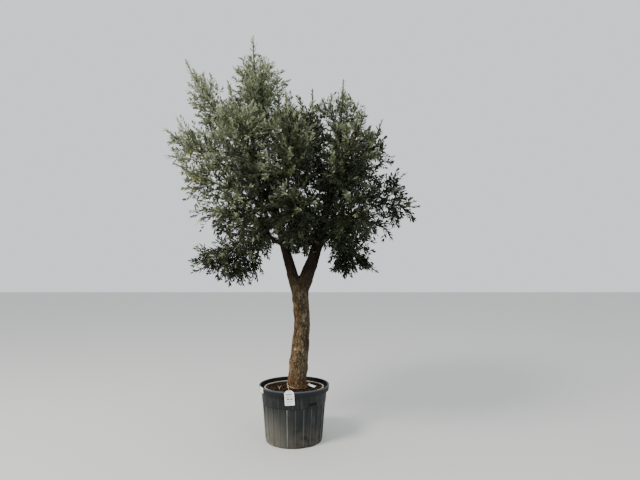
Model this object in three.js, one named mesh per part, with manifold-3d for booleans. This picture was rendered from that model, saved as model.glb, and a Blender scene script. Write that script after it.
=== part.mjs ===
// An olive tree on a single stem, grown in a black plastic nursery container.
//
// Millimetres. +Z is up, +Y points away from the viewer, and the origin lies under the middle of the
// container, on the ground it stands on. The trunk forks into two main boughs. Side boughs leave them and
// end where they enter their own mass of foliage. A mass is one solid: a stem, the twigs on it, and leaves
// larger than life, each of which stands for a leafy spray.

import * as THREE from "three";
import { mergeVertices } from "three/addons/utils/BufferGeometryUtils.js";
import Module from "manifold-3d";

const wasm = await Module();
wasm.setup();

// Driving sizes

const GAP = 0.3; // the clearance between two solids that rest on each other

const POT = {
  height: 489,
  rimRadius: 315,
  baseRadius: 257,
  floor: 12,
  wall: 6,
  collarDepth: 50, // the band under the rim
  collarProud: 17,
  ledgeDepth: 150, // the step below the rim where the ribs begin
  ledgeProud: 8,
  facets: 48,
  ribs: 24,
  ribWidth: 9,
  ribProud: 5,
  ribSpan: [16, 330], // heights of a rib's two ends
  ribTurn: -10, // degrees from the front to the nearest rib
  notches: 12,
  notchWidth: 40,
  notchHeight: 8,
  notchDepth: 20,
  gripWidth: 92,
  gripHeight: 25,
  gripDepth: 3.6,
  gripTurn: 37, // degrees from the front, to the viewer's right; the second grip is opposite
};

const SOIL = { top: 455, edge: 446, flatRadius: 110 };
const DRIP_RING = { radius: 262, tube: 6, sides: 5, steps: 24 };
const TAG = {
  width: 90,
  height: 131,
  thick: 1.5,
  corner: 10,
  shoulder: 20, // the cut corners at the top
  eyelet: 4.5,
  lean: 4.5,
  turn: -5,
};
const STRING = { radius: 1.5, height: 478, slack: 3.2, tilt: 8, sides: 4 }; // the loop is lowest in front
const RIM_LABEL = { turn: -69, width: 120, height: 38, thick: 1.2 };
const SOIL_LABEL = { length: 84, width: 24, thick: 2, at: [150, 46], turn: -20 };

// Trunk stations from the soil up: height, sideways place, depth and radius.
const TRUNK_STATIONS = [
  [SOIL.top + GAP, 26, 0, 93],
  [SOIL.top + 35, 27, 0, 87],
  [560, 30, 2, 85],
  [800, 52, 6, 79],
  [1050, 68, 4, 73],
  [1240, 56, 0, 76],
  [1380, 44, 0, 80],
];

// The two main boughs: four control points each, and the radii at the fork and at the tip.
const MAIN_BOUGHS = {
  bough_left: {
    points: [
      [25, 0, 1320],
      [-60, -8, 1600],
      [-200, -14, 2060],
      [-230, 0, 2460],
    ],
    radii: [58, 15],
    armLength: 340,
  },
  bough_right: {
    points: [
      [52, 0, 1320],
      [172, 6, 1570],
      [310, 14, 2000],
      [355, 0, 2480],
    ],
    radii: [74, 17],
    armLength: 345,
  },
};

// The masses of foliage. A mass fills a flame from its foot to its tip. Each row holds the main bough that
// carries it, the share of that bough's length at which its side bough leaves (1 is the main bough's own
// tip), its foot, its tip, its spread to each side and its lift. Twigs turn up by the lift as they grow,
// and droop where it is negative.
const MASSES = {
  top: ["bough_left", 1, [-230, 0, 2460], [-401, 0, 3696], 350, 0.5],
  left_high: ["bough_left", 0.78, [-450, 50, 2560], [-1045, 70, 3490], 270, 0.4],
  left_far: ["bough_left", 0.7, [-470, -40, 2370], [-1195, -50, 2800], 290, 0.2],
  left_middle: ["bough_left", 0.55, [-400, -130, 2160], [-1040, -250, 2440], 290, 0],
  left_low: ["bough_left", 0.46, [-370, 60, 1990], [-880, 100, 2100], 280, -0.1],
  left_skirt: ["bough_left", 0.34, [-310, -50, 1810], [-890, -140, 1490], 290, -0.3],
  middle_top: ["bough_right", 0.72, [90, 50, 2250], [160, 50, 3200], 330, 0.3],
  right_top: ["bough_right", 1, [355, 0, 2480], [450, 0, 3270], 320, 0.5],
  right_high: ["bough_right", 0.84, [520, 50, 2310], [820, 80, 2920], 280, 0.3],
  right_far: ["bough_right", 0.7, [480, -30, 2190], [1120, -60, 2080], 310, 0],
  right_low: ["bough_right", 0.52, [430, 40, 1990], [870, 40, 1940], 300, -0.2],
  right_skirt: ["bough_right", 0.37, [340, -60, 1830], [730, -120, 1500], 280, -0.3],
  front_top: ["bough_left", 0.5, [-40, -220, 2120], [-30, -810, 2850], 380, 0.2],
  front_left: ["bough_left", 0.65, [-310, -190, 2250], [-500, -640, 3000], 350, 0.3],
  front_right: ["bough_right", 0.65, [320, -190, 2200], [570, -810, 2680], 370, 0.3],
  front_low: ["bough_right", 0.44, [80, -180, 1950], [20, -960, 2090], 330, -0.1],
  front_low_left: ["bough_left", 0.42, [-230, -190, 1950], [-580, -810, 1960], 320, -0.3],
  front_low_right: ["bough_right", 0.48, [310, -180, 1960], [610, -780, 1970], 320, -0.3],
  back_top: ["bough_left", 0.86, [-60, 190, 2450], [0, 650, 3180], 340, 0.4],
  back_left: ["bough_left", 0.6, [-310, 210, 2220], [-650, 870, 2760], 380, 0.3],
  back_right: ["bough_right", 0.6, [340, 230, 2210], [640, 880, 2700], 380, 0.3],
  back_low: ["bough_right", 0.34, [60, 180, 1900], [0, 990, 2080], 320, -0.2],
  back_low_left: ["bough_left", 0.38, [-220, 190, 1930], [-590, 820, 1930], 320, -0.3],
  back_low_right: ["bough_right", 0.4, [270, 200, 1930], [580, 830, 1950], 320, -0.3],
};

const SIDE_BOUGH = { baseRadius: 18, tipRadius: 11, sides: 5, segments: 3, pull: 0.34 };
const MAIN_SIDES = 8;
const MAIN_SEGMENTS = 6;
const TRUNK_SIDES = 14;
const TRUNK_SEGMENTS = 9;
const SUNK_FOOT = 60; // how far the trunk's centre line runs on below its flat cut

const STEM = { tipRadius: 5, segments: 3, bow: 0.05 };
const TWIG = { spacing: 108, thickness: 0.48, step: 30, shortest: 80, room: 50 };
const LEAF = { length: 300, width: 106, thick: 10, widest: 0.38, station: 165, clear: 2 };
const LEAF_TRIES = { sizes: [1.1, 0.85, 0.6], turns: [0, 0.8, -0.8] };
const SIMPLIFY = 0.01; // flattens the needless corners that joining leaves
const SPACE_MARGIN = 3; // how far the solids of a mass stay inside its space
const FLAME = { foot: 0.45, tip: 0.64, scale: 2.15 }; // rises from a round foot and narrows to its tip
const GOLDEN_ANGLE = Math.PI * (3 - Math.sqrt(5));

const UP = new THREE.Vector3(0, 0, 1);
const vector = (p) => new THREE.Vector3(...p);
const radians = THREE.MathUtils.degToRad;

// Materials

const paint = (color, roughness) => new THREE.MeshStandardMaterial({ color, roughness, metalness: 0 });
const MATERIALS = {
  pot: paint(0x3c3f40, 0.7),
  soil: paint(0x3a2c20, 1),
  bark: paint(0x6b5a47, 0.95),
  foliage: paint(0x5f6a4c, 0.65),
  dripRing: paint(0xa39480, 0.6),
  label: paint(0xe9ebe8, 0.5),
  string: paint(0xd9cdb2, 0.9),
};

// Solids: three.js makes the shapes, and the library joins and cuts them.

function solidOf(geometry) {
  const bare = geometry.clone();
  bare.deleteAttribute("normal");
  bare.deleteAttribute("uv");
  const merged = mergeVertices(bare, 1e-3);
  return new wasm.Manifold(
    new wasm.Mesh({
      numProp: 3,
      vertProperties: new Float32Array(merged.attributes.position.array),
      triVerts: new Uint32Array(merged.index.array),
    }),
  );
}

function joined(solids) {
  return solids.reduce((whole, part) => whole.add(part));
}

function meshOf(name, solid, material) {
  const { vertProperties, triVerts, numProp, numVert } = solid.getMesh();
  const positions = new Float32Array(numVert * 3);
  for (let i = 0; i < numVert; i++)
    positions.set(vertProperties.subarray(i * numProp, i * numProp + 3), i * 3);
  const geometry = new THREE.BufferGeometry()
    .setAttribute("position", new THREE.BufferAttribute(positions, 3))
    .setIndex(new THREE.BufferAttribute(triVerts, 1));
  const mesh = new THREE.Mesh(geometry, material);
  mesh.name = name;
  return mesh;
}

// A lathe profile of [radius, height] pairs, turned about the upright axis. The first rib is on the middle
// of a facet.
function turned(profile, facets = POT.facets) {
  const points = profile.map(([radius, height]) => new THREE.Vector2(radius, height));
  const turn = radians(POT.ribTurn - 180 / POT.facets);
  return new THREE.LatheGeometry(points, facets, turn).rotateX(Math.PI / 2);
}

// A solid that is placed at a radius and a height, and turned round the pot by degrees from the front.
function roundThePot(geometry, radius, height, degrees) {
  return geometry.translate(0, -radius, height).rotateZ(radians(degrees));
}

// A cylinder bent along a curve, with its own radius at each share of the length.
function taperedTube({ curve, radiusAt, sides, segments }) {
  const geometry = new THREE.CylinderGeometry(1, 1, 1, sides, segments);
  const frames = curve.computeFrenetFrames(segments);
  const place = geometry.attributes.position;
  for (let i = 0; i < place.count; i++) {
    const row = Math.round((place.getY(i) + 0.5) * segments);
    const radius = radiusAt(row / segments);
    const point = curve
      .getPointAt(row / segments)
      .addScaledVector(frames.normals[row], place.getZ(i) * radius)
      .addScaledVector(frames.binormals[row], place.getX(i) * radius);
    place.setXYZ(i, point.x, point.y, point.z);
  }
  return geometry;
}

// A seeded row of numbers from 0 to 1, the same on every run.
function seeded(seed) {
  let state = seed;
  return () => (state = (state * 48271) % 2147483647) / 2147483647;
}

// The container: a turned shell with a collar, a ledge, ribs, two grips and drainage notches

function wallRadius(height) {
  const share = height / (POT.height - POT.collarDepth);
  const upper = POT.rimRadius - POT.collarProud - POT.wall;
  return THREE.MathUtils.lerp(POT.baseRadius, upper, share);
}

// The inside of the pot, from the top down: it follows the wall outside.
const ledgeHeight = POT.height - POT.ledgeDepth;
const collarFoot = POT.height - POT.collarDepth;
const underLedge = wallRadius(ledgeHeight) - POT.ledgeProud;
const POT_INSIDE = [
  [POT.rimRadius - 15, POT.height],
  [wallRadius(collarFoot) - POT.wall, collarFoot],
  [underLedge - POT.wall, ledgeHeight - 6],
  [POT.baseRadius - 9 - POT.wall, POT.floor],
];

function insideRadius(height) {
  const below = POT_INSIDE.findIndex(([, level]) => level <= height);
  const [[topRadius, top], [footRadius, foot]] = POT_INSIDE.slice(below - 1, below + 1);
  return THREE.MathUtils.mapLinear(height, foot, top, footRadius, topRadius);
}

function potShell() {
  const outside = [
    [0, 0],
    [POT.baseRadius - 9, 0],
    [underLedge, ledgeHeight - 4],
    [wallRadius(ledgeHeight), ledgeHeight + 3],
    [wallRadius(collarFoot), collarFoot],
    [collarRadius(collarFoot), collarFoot],
    [POT.rimRadius, POT.height - 9],
    [POT.rimRadius - 3, POT.height],
  ];
  return solidOf(turned([...outside, ...POT_INSIDE, [0, POT.floor]]));
}

function makePot() {
  const [foot, top] = POT.ribSpan;
  const wallAt = (height) =>
    THREE.MathUtils.lerp(POT.baseRadius - 9, underLedge, height / (ledgeHeight - 4));
  const sunk = 4;
  const ribs = Array.from({ length: POT.ribs }, (_, i) => {
    const rib = new THREE.BoxGeometry(POT.ribWidth, POT.ribProud + sunk, top - foot);
    rib.rotateX(Math.atan2(wallAt(top) - wallAt(foot), top - foot));
    const middle = wallAt((top + foot) / 2) + (POT.ribProud - sunk) / 2;
    return solidOf(roundThePot(rib, middle, (top + foot) / 2, POT.ribTurn + (i * 360) / POT.ribs));
  });
  const notches = Array.from({ length: POT.notches }, (_, i) => {
    const notch = new THREE.BoxGeometry(POT.notchWidth, POT.notchDepth * 2, POT.notchHeight * 2);
    const turn = POT.ribTurn + 7.5 + (i * 360) / POT.notches;
    return solidOf(roundThePot(notch, POT.baseRadius, 0, turn));
  });
  const gripHeight = ledgeHeight + 27;
  const grips = [0, 180].map((turn) => {
    const grip = new THREE.BoxGeometry(POT.gripWidth, POT.gripDepth * 2, POT.gripHeight);
    return solidOf(roundThePot(grip, wallRadius(gripHeight), gripHeight, POT.gripTurn + turn));
  });
  return joined([potShell(), ...ribs]).subtract(joined([...notches, ...grips])).simplify(SIMPLIFY);
}

// The potting mix fills the container to just below its rim. It is flat under the trunk and under the ring.
function makeSoil() {
  const side = POT_INSIDE.slice(1).reverse();
  side.push([insideRadius(SOIL.edge), SOIL.edge]);
  const top = [
    [DRIP_RING.radius - 14, SOIL.edge],
    [SOIL.flatRadius, SOIL.top],
    [0, SOIL.top],
  ];
  const loose = side.map(([radius, height]) => [radius - GAP * 2, Math.max(height, POT.floor + GAP)]);
  const profile = [[0, POT.floor + GAP], ...loose, ...top];
  return solidOf(turned(profile, POT.facets / 2));
}

function makeDripRing() {
  const { radius, tube, sides, steps } = DRIP_RING;
  const profile = Array.from({ length: sides + 1 }, (_, i) => {
    const angle = ((i + 0.5) * 2 * Math.PI) / sides - Math.PI / 2; // a flat side lies on the soil
    return new THREE.Vector2(radius + tube * Math.cos(angle), tube * Math.sin(angle));
  });
  const ring = new THREE.LatheGeometry(profile, steps).rotateX(Math.PI / 2);
  return solidOf(ring.translate(0, 0, SOIL.edge + GAP + tube * Math.cos(Math.PI / sides)));
}

// The hang tag: a stiff card with cut shoulders, an eyelet near its top and a string to the trunk

const tagPlane = POT.rimRadius + GAP;
const eyeletDrop = 11;
const eyeletPlace = new THREE.Vector3(0, -(tagPlane + TAG.thick / 2), POT.height + 2).applyAxisAngle(
  UP,
  radians(TAG.turn),
);

function tagOutline() {
  const { width, height, corner, shoulder } = TAG;
  const [right, top, bottom] = [width / 2, eyeletDrop, eyeletDrop - height];
  const outline = new THREE.Shape()
    .moveTo(-right + corner, bottom)
    .lineTo(right - corner, bottom)
    .quadraticCurveTo(right, bottom, right, bottom + corner)
    .lineTo(right, top - shoulder)
    .lineTo(right - shoulder, top)
    .lineTo(-right + shoulder, top)
    .lineTo(-right, top - shoulder)
    .lineTo(-right, bottom + corner)
    .quadraticCurveTo(-right, bottom, -right + corner, bottom);
  outline.holes.push(new THREE.Path().absarc(0, 0, TAG.eyelet, 0, 2 * Math.PI));
  return outline;
}

function makeTag() {
  const card = new THREE.ExtrudeGeometry(tagOutline(), {
    depth: TAG.thick,
    bevelEnabled: false,
    curveSegments: 3,
  });
  card.rotateX(Math.PI / 2); // the card stands upright, its back to the pot
  card.translate(0, TAG.thick / 2, 0);
  card.rotateY(radians(-TAG.lean));
  card.rotateZ(radians(TAG.turn));
  return solidOf(card.translate(...eyeletPlace));
}

// The string: a loop round the foot of the trunk, a strand over the rim and a ring through the eyelet.
function makeString() {
  const [, trunkX, trunkY, trunkRadius] = TRUNK_STATIONS[1];
  const loopRadius = trunkRadius + STRING.radius + STRING.slack;
  const loop = new THREE.TorusGeometry(loopRadius, STRING.radius, STRING.sides, 16);
  loop.rotateX(radians(STRING.tilt)).translate(trunkX, trunkY, STRING.height);
  const ringRadius = 8;
  const ringTop = eyeletPlace.clone().add(new THREE.Vector3(0, 0, ringRadius));
  const ring = new THREE.TorusGeometry(ringRadius, STRING.radius, STRING.sides, 8);
  ring.rotateY(Math.PI / 2);
  ring.rotateZ(radians(TAG.turn));
  ring.translate(...ringTop);
  const start = new THREE.Vector3(-0.9, -0.44, 0)
    .multiplyScalar(loopRadius)
    .applyAxisAngle(new THREE.Vector3(1, 0, 0), radians(STRING.tilt))
    .add(new THREE.Vector3(trunkX, trunkY, STRING.height));
  const end = ringTop.clone().add(new THREE.Vector3(0, ringRadius, 0));
  const middle = start.clone().lerp(end, 0.6).add(new THREE.Vector3(0, 0, 3));
  const strand = new THREE.QuadraticBezierCurve3(start, middle, end);
  const run = { curve: strand, radiusAt: () => STRING.radius, sides: STRING.sides, segments: 4 };
  return joined([solidOf(loop), solidOf(taperedTube(run)), solidOf(ring)]);
}

function collarRadius(height) {
  return THREE.MathUtils.mapLinear(height, collarFoot, POT.height - 9, POT.rimRadius - 5, POT.rimRadius);
}

// A plain strip stuck on the collar, bent to its curve
function makeRimLabel() {
  const top = POT.height - 10;
  const foot = top - RIM_LABEL.height;
  const back = [top, foot].map((height) => [collarRadius(height) + GAP, height]);
  const face = [foot, top].map((height) => [collarRadius(height) + GAP + RIM_LABEL.thick, height]);
  const band = solidOf(turned([...back, ...face, back[0]]));
  const window = new THREE.BoxGeometry(RIM_LABEL.width, 60, RIM_LABEL.height * 2);
  return band.intersect(solidOf(roundThePot(window, POT.rimRadius, top, RIM_LABEL.turn)));
}

// A plain strip of plastic that lies on the potting mix, just beyond its level top
function makeSoilLabel() {
  const strip = new THREE.BoxGeometry(SOIL_LABEL.length, SOIL_LABEL.width, SOIL_LABEL.thick);
  const [x, y] = SOIL_LABEL.at;
  const distance = Math.hypot(x, y);
  const reach = DRIP_RING.radius - 14 - SOIL.flatRadius;
  const slope = Math.atan2(SOIL.top - SOIL.edge, reach);
  const under = SOIL.top - (distance - SOIL.flatRadius) * Math.tan(slope);
  strip.rotateZ(radians(SOIL_LABEL.turn));
  const tilt = new THREE.Vector3(-y, x, 0).normalize();
  strip.applyMatrix4(new THREE.Matrix4().makeRotationAxis(tilt, slope));
  return solidOf(strip.translate(x, y, under + SOIL_LABEL.thick / 2 + GAP * 3));
}

// Limbs: the trunk, the two main boughs, and a side bough to each mass

// A limb's centre line and its radius along it, with what its faceted solid makes of them: straight runs,
// the point at a share of the length on those, and samples for the distance to other things.
function limb(curve, radiusAt, sides, segments) {
  const rows = Array.from({ length: segments + 1 }, (_, i) => curve.getPointAt(i / segments));
  const at = (share) => {
    const row = Math.min(segments - 1, Math.floor(share * segments));
    return rows[row].clone().lerp(rows[row + 1], share * segments - row);
  };
  const samples = Array.from({ length: 41 }, (_, i) => ({ place: at(i / 40), radius: radiusAt(i / 40) }));
  return { curve, radiusAt, sides, segments, at, samples };
}

// The trunk runs on a little below the soil, so that its foot can be cut flat there.
function trunkLimb() {
  const [[soil, footX, footY, footRadius]] = TRUNK_STATIONS;
  const stations = [[soil - SUNK_FOOT, footX, footY, footRadius], ...TRUNK_STATIONS];
  const centres = stations.map(([height, x, y]) => new THREE.Vector3(x, y, height));
  const curve = new THREE.CatmullRomCurve3(centres);
  const radiusAt = (share) => {
    const height = curve.getPointAt(share).z;
    const above = Math.max(1, stations.findIndex(([top]) => top >= height - 0.01));
    const [[low, , , lowRadius], [high, , , highRadius]] = stations.slice(above - 1, above + 1);
    return THREE.MathUtils.mapLinear(height, low, high, lowRadius, highRadius);
  };
  const trunk = limb(curve, radiusAt, TRUNK_SIDES, TRUNK_SEGMENTS);
  trunk.solid = solidOf(taperedTube(trunk)).trimByPlane([0, 0, 1], soil);
  return trunk;
}

function mainLimb({ points, radii }) {
  const curve = new THREE.CubicBezierCurve3(...points.map(vector));
  return limb(curve, (share) => THREE.MathUtils.lerp(...radii, share), MAIN_SIDES, MAIN_SEGMENTS);
}

// A side bough leaves its parent at an angle and arrives along its mass's own axis.
function sideLimb(parent, mass) {
  const start = parent.curve.getPointAt(mass.at);
  const { foot, tip } = mass;
  const pull = start.distanceTo(foot) * SIDE_BOUGH.pull;
  const along = parent.curve.getTangentAt(mass.at);
  const leave = foot.clone().sub(start).normalize().add(along).normalize();
  const arrive = tip.clone().sub(foot).normalize();
  const curve = new THREE.CubicBezierCurve3(
    start,
    start.clone().addScaledVector(leave, pull),
    foot.clone().addScaledVector(arrive, -pull),
    foot,
  );
  const base = Math.min(SIDE_BOUGH.baseRadius, parent.radiusAt(mass.at) * 0.72);
  const radiusAt = (share) => THREE.MathUtils.lerp(base, SIDE_BOUGH.tipRadius, share);
  return limb(curve, radiusAt, SIDE_BOUGH.sides, SIDE_BOUGH.segments);
}

// The share of a side bough's length at which it has come clear of its parent.
function shareClearOf(parent, child) {
  const clear = child.samples.findIndex(({ place, radius }) =>
    parent.samples.every((other) => place.distanceTo(other.place) > other.radius + radius + 6),
  );
  return clear / 40;
}

// Cuts a limb across at a share of its length: the stub that stays on the parent, and the free limb.
function cutAcross({ curve, solid }, share) {
  const along = curve.getTangentAt(share);
  const offset = along.dot(curve.getPointAt(share));
  const stub = solid.trimByPlane([-along.x, -along.y, -along.z], GAP / 2 - offset);
  return { stub, free: solid.trimByPlane([along.x, along.y, along.z], GAP / 2 + offset) };
}

// Foliage

// The space that a mass may fill: a flame round its axis, cut back by a plane against each other mass.
function spacesOf(masses) {
  const bodies = masses.map(({ foot, tip, spread }) => {
    const axis = tip.clone().sub(foot);
    const centre = foot.clone().lerp(tip, 0.5);
    return { centre, half: axis.length() / 2, axis: axis.normalize(), spread };
  });
  const reach = ({ axis, half, spread }, direction) =>
    Math.hypot(half * axis.dot(direction), spread * Math.sin(axis.angleTo(direction)));
  return bodies.map((own) => {
    const walls = bodies
      .filter((other) => other !== own)
      .map((other) => {
        const normal = other.centre.clone().sub(own.centre);
        const distance = normal.length();
        normal.normalize();
        const share = reach(own, normal) / (reach(own, normal) + reach(other, normal));
        return { normal, offset: normal.dot(own.centre) + distance * share };
      });
    return { ...own, walls };
  });
}

function isInside({ centre, axis, half, spread, walls }, point, margin) {
  const from = point.clone().sub(centre);
  const share = (from.dot(axis) / half + 1) / 2;
  if (share < 0 || share > 1) return false;
  const width = spread * FLAME.scale * share ** FLAME.foot * (1 - share) ** FLAME.tip;
  const across = from.cross(axis).length();
  if (across > width - margin) return false;
  return walls.every(({ normal, offset }) => normal.dot(point) <= offset - margin);
}

function isClearOf(limbs, point, clearance) {
  return limbs.every(({ samples }) =>
    samples.every(({ place, radius }) => place.distanceTo(point) > radius + clearance),
  );
}

// Two directions across another one.
function crossAxes(direction) {
  const side = new THREE.Vector3().crossVectors(direction, UP);
  if (side.length() < 0.05) side.set(1, 0, 0);
  side.normalize();
  return [side, new THREE.Vector3().crossVectors(side, direction).normalize()];
}

function splayed(direction, turn, angle) {
  const [side, over] = crossAxes(direction);
  return direction
    .clone()
    .multiplyScalar(Math.cos(angle))
    .addScaledVector(side, Math.sin(angle) * Math.cos(turn))
    .addScaledVector(over, Math.sin(angle) * Math.sin(turn))
    .normalize();
}

// The stem of a mass starts across the gap from its bough's tip, runs on in the bough's direction and
// turns to the mass's own tip.
function stemOf({ foot, tip }, bough) {
  const along = bough.curve.getTangentAt(1);
  const start = foot.clone().addScaledVector(along, GAP);
  const axis = tip.clone().sub(start);
  const length = axis.length();
  axis.normalize();
  const end = tip.clone().addScaledVector(axis, -SPACE_MARGIN * 2);
  const bow = crossAxes(axis)[1].multiplyScalar(-length * STEM.bow);
  const curve = new THREE.CubicBezierCurve3(
    start,
    start.clone().addScaledVector(along, length / 3),
    end.clone().addScaledVector(axis, -length / 3).add(bow),
    end,
  );
  const radiusAt = (share) => THREE.MathUtils.lerp(bough.radiusAt(1), STEM.tipRadius, share);
  return limb(curve, radiusAt, 3, STEM.segments);
}

// A twig grows straight, step by step, until it would leave the space.
function twigLength(root, direction, longest, free) {
  let length = 0;
  while (length < longest) {
    const next = root.clone().addScaledVector(direction, length + TWIG.step);
    if (!free(next, SIDE_BOUGH.tipRadius)) break;
    length += TWIG.step;
  }
  return length;
}

// Points down the middle of a leaf and at its two side corners, with the room that each needs.
function samplesOf({ root, direction, across, size }) {
  const at = (share) => root.clone().addScaledVector(direction, size * share);
  const middle = [0.25, 0.4, 0.55, 0.7, 0.85, 1].map((share) => ({
    place: at(share),
    radius: LEAF.width * Math.min(share, 1 - share) * 0.8,
  }));
  const sides = [0.5, -0.5].map((half) => ({
    place: at(LEAF.widest).addScaledVector(across, LEAF.width * half),
    radius: 0,
  }));
  return [...middle, ...sides];
}

// Leaves stand in crossed pairs along a twig, with one at its end. Where a leaf would leave the space, or
// touch a limb or another leaf, other turns and shorter leaves are tried, and then none.
function leavesOn(twig, pairs, random, free) {
  const leaves = [];
  const offer = (share, turn, angle) => {
    const scale = 0.85 + 0.3 * random();
    const roll = (random() - 0.5) * 2;
    const tries = LEAF_TRIES.sizes.flatMap((size) => LEAF_TRIES.turns.map((more) => [size, more]));
    for (const [size, more] of tries) {
      const direction = splayed(twig.curve.getTangentAt(share), turn + more, angle);
      const [side, over] = crossAxes(direction);
      const across = side.multiplyScalar(Math.cos(roll)).addScaledVector(over, Math.sin(roll));
      const leaf = { root: twig.at(share), direction, across, size: size * scale * LEAF.length };
      leaf.samples = samplesOf(leaf);
      if (!leaf.samples.every(({ place, radius }) => free(place, radius + LEAF.clear))) continue;
      leaves.push(leaf);
      return;
    }
  };
  for (let i = 0; i < pairs; i++) {
    const first = i * 1.3 + random();
    for (const turn of [first, first + Math.PI]) offer((0.64 * (i + 0.8)) / pairs, turn, 0.8);
  }
  offer(0.5, 0, 0);
  return leaves;
}

// A six-faced leaf, flat below and keeled above, its root sunk in the twig.
function leafSolid({ root, direction, across, size }) {
  const ends = [new THREE.Vector2(0, 0), new THREE.Vector2(1, LEAF.widest), new THREE.Vector2(0, 1)];
  const leaf = new THREE.LatheGeometry(ends, 3, Math.PI);
  leaf.scale(LEAF.width / Math.sqrt(3), size, LEAF.thick / 1.5);
  const normal = new THREE.Vector3().crossVectors(across, direction);
  leaf.applyMatrix4(new THREE.Matrix4().makeBasis(across, direction, normal).setPosition(root));
  return solidOf(leaf);
}

// A three-sided twig that narrows to a point
function twigSolid({ at, radiusAt, length }) {
  const cone = new THREE.ConeGeometry(radiusAt(0), length, 3).translate(0, length / 2, 0);
  const direction = at(1).sub(at(0)).normalize();
  cone.applyQuaternion(new THREE.Quaternion().setFromUnitVectors(new THREE.Vector3(0, 1, 0), direction));
  return solidOf(cone.translate(...at(0)));
}

function growMass({ spread, lift }, space, stem, limbs, seed) {
  const random = seeded(seed);
  const roomy = (point, clearance) =>
    isInside(space, point, TWIG.room) && isClearOf(limbs, point, clearance);
  const count = Math.round(stem.curve.getLength() / TWIG.spacing);
  const twigs = [];
  for (let i = 0; i < count; i++) {
    const share = 0.05 + (0.87 * (i + random() * 0.5)) / count;
    const turn = GOLDEN_ANGLE * i + random();
    const direction = splayed(stem.curve.getTangentAt(share), turn, THREE.MathUtils.lerp(1.45, 0.6, share));
    direction.addScaledVector(UP, lift).normalize();
    const root = stem.at(share);
    const length = twigLength(root, direction, spread * 1.4, roomy);
    if (length < TWIG.shortest) continue;
    const curve = new THREE.LineCurve3(root, root.clone().addScaledVector(direction, length));
    const radius = stem.radiusAt(share) * TWIG.thickness;
    twigs.push({ ...limb(curve, (along) => radius * (1 - along), 3, 1), length });
  }
  const leaves = [];
  for (const twig of [...twigs, stem]) {
    const others = [...limbs, ...[...twigs, stem].filter((other) => other !== twig)];
    const free = (point, clearance) =>
      isInside(space, point, SPACE_MARGIN) && isClearOf([...others, ...leaves], point, clearance);
    const pairs = Math.max(1, Math.round(twig.curve.getLength() / LEAF.station));
    leaves.push(...leavesOn(twig, pairs, random, free));
  }
  const solids = [solidOf(taperedTube(stem)), ...twigs.map(twigSolid), ...leaves.map(leafSolid)];
  return joined(solids).simplify(SIMPLIFY);
}

// Assembly

const tree = new THREE.Group();
const add = (name, solid, material) => tree.add(meshOf(name, solid, material));

add("pot", makePot(), MATERIALS.pot);
add("soil", makeSoil(), MATERIALS.soil);
add("drip_ring", makeDripRing(), MATERIALS.dripRing);
add("hang_tag", makeTag(), MATERIALS.label);
add("tag_string", makeString(), MATERIALS.string);
add("rim_label", makeRimLabel(), MATERIALS.label);
add("soil_label", makeSoilLabel(), MATERIALS.label);

const limbs = { trunk: trunkLimb() };

for (const [name, main] of Object.entries(MAIN_BOUGHS)) {
  const bough = mainLimb(main);
  bough.solid = solidOf(taperedTube(bough));
  const { stub, free } = cutAcross(bough, main.armLength / bough.curve.getLength());
  limbs.trunk.solid = limbs.trunk.solid.add(stub);
  bough.solid = free;
  limbs[name] = bough;
}

const masses = Object.entries(MASSES).map(([name, [on, at, foot, tip, spread, lift]]) => {
  return { name, on, at, foot: vector(foot), tip: vector(tip), spread, lift };
});

for (const mass of masses) {
  const parent = limbs[mass.on];
  mass.bough = parent;
  if (mass.at === 1) continue;
  mass.bough = sideLimb(parent, mass);
  mass.bough.solid = solidOf(taperedTube(mass.bough));
  const { stub, free } = cutAcross(mass.bough, shareClearOf(parent, mass.bough));
  parent.solid = parent.solid.add(stub);
  mass.bough.solid = free;
  limbs[`bough_${mass.name}`] = mass.bough;
}

for (const [name, { solid }] of Object.entries(limbs)) add(name, solid.simplify(SIMPLIFY), MATERIALS.bark);

const spaces = spacesOf(masses);
const stems = masses.map((mass) => stemOf(mass, mass.bough));
masses.forEach((mass, i) => {
  const avoid = [...Object.values(limbs), ...stems.filter((stem) => stem !== stems[i])];
  add(`foliage_${mass.name}`, growMass(mass, spaces[i], stems[i], avoid, 101 + i * 37), MATERIALS.foliage);
});

export default tree;
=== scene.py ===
"""The looks of an olive tree grown in a black nursery container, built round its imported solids.

Metres, with +Z up and the photo's viewer on the -Y side. The sections follow the plant as it is potted
up: container, potting mix, drip ring, trunk with its boughs, twigs with their leaves, labels, string.
"""

import math

import bmesh
import bpy
import numpy as np
from mathutils import Matrix, Vector, noise


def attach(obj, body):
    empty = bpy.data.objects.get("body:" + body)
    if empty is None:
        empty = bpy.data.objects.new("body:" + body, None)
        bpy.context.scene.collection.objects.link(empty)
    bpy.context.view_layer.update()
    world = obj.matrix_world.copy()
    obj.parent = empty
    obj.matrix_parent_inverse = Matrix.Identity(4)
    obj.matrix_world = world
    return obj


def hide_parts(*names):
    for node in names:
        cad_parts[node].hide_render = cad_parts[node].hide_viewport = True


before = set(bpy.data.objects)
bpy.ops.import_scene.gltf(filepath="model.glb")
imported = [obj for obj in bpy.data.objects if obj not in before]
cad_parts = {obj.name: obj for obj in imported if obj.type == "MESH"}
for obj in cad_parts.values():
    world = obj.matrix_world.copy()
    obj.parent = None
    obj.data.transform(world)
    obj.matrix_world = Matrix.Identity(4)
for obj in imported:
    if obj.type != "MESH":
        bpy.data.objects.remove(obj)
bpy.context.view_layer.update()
bpy.ops.object.select_all(action="DESELECT")


# The studio: the photo's own viewpoint, a phone held at eye height 4.4 metres away, with a pale floor,
# an overcast sky all round and a large soft light from the front left.

VIEWPOINT = (0.232, -4.4, 1.5)
PITCH_UP = 3.7
LENS, SENSOR_WIDTH = 27, 36

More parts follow.
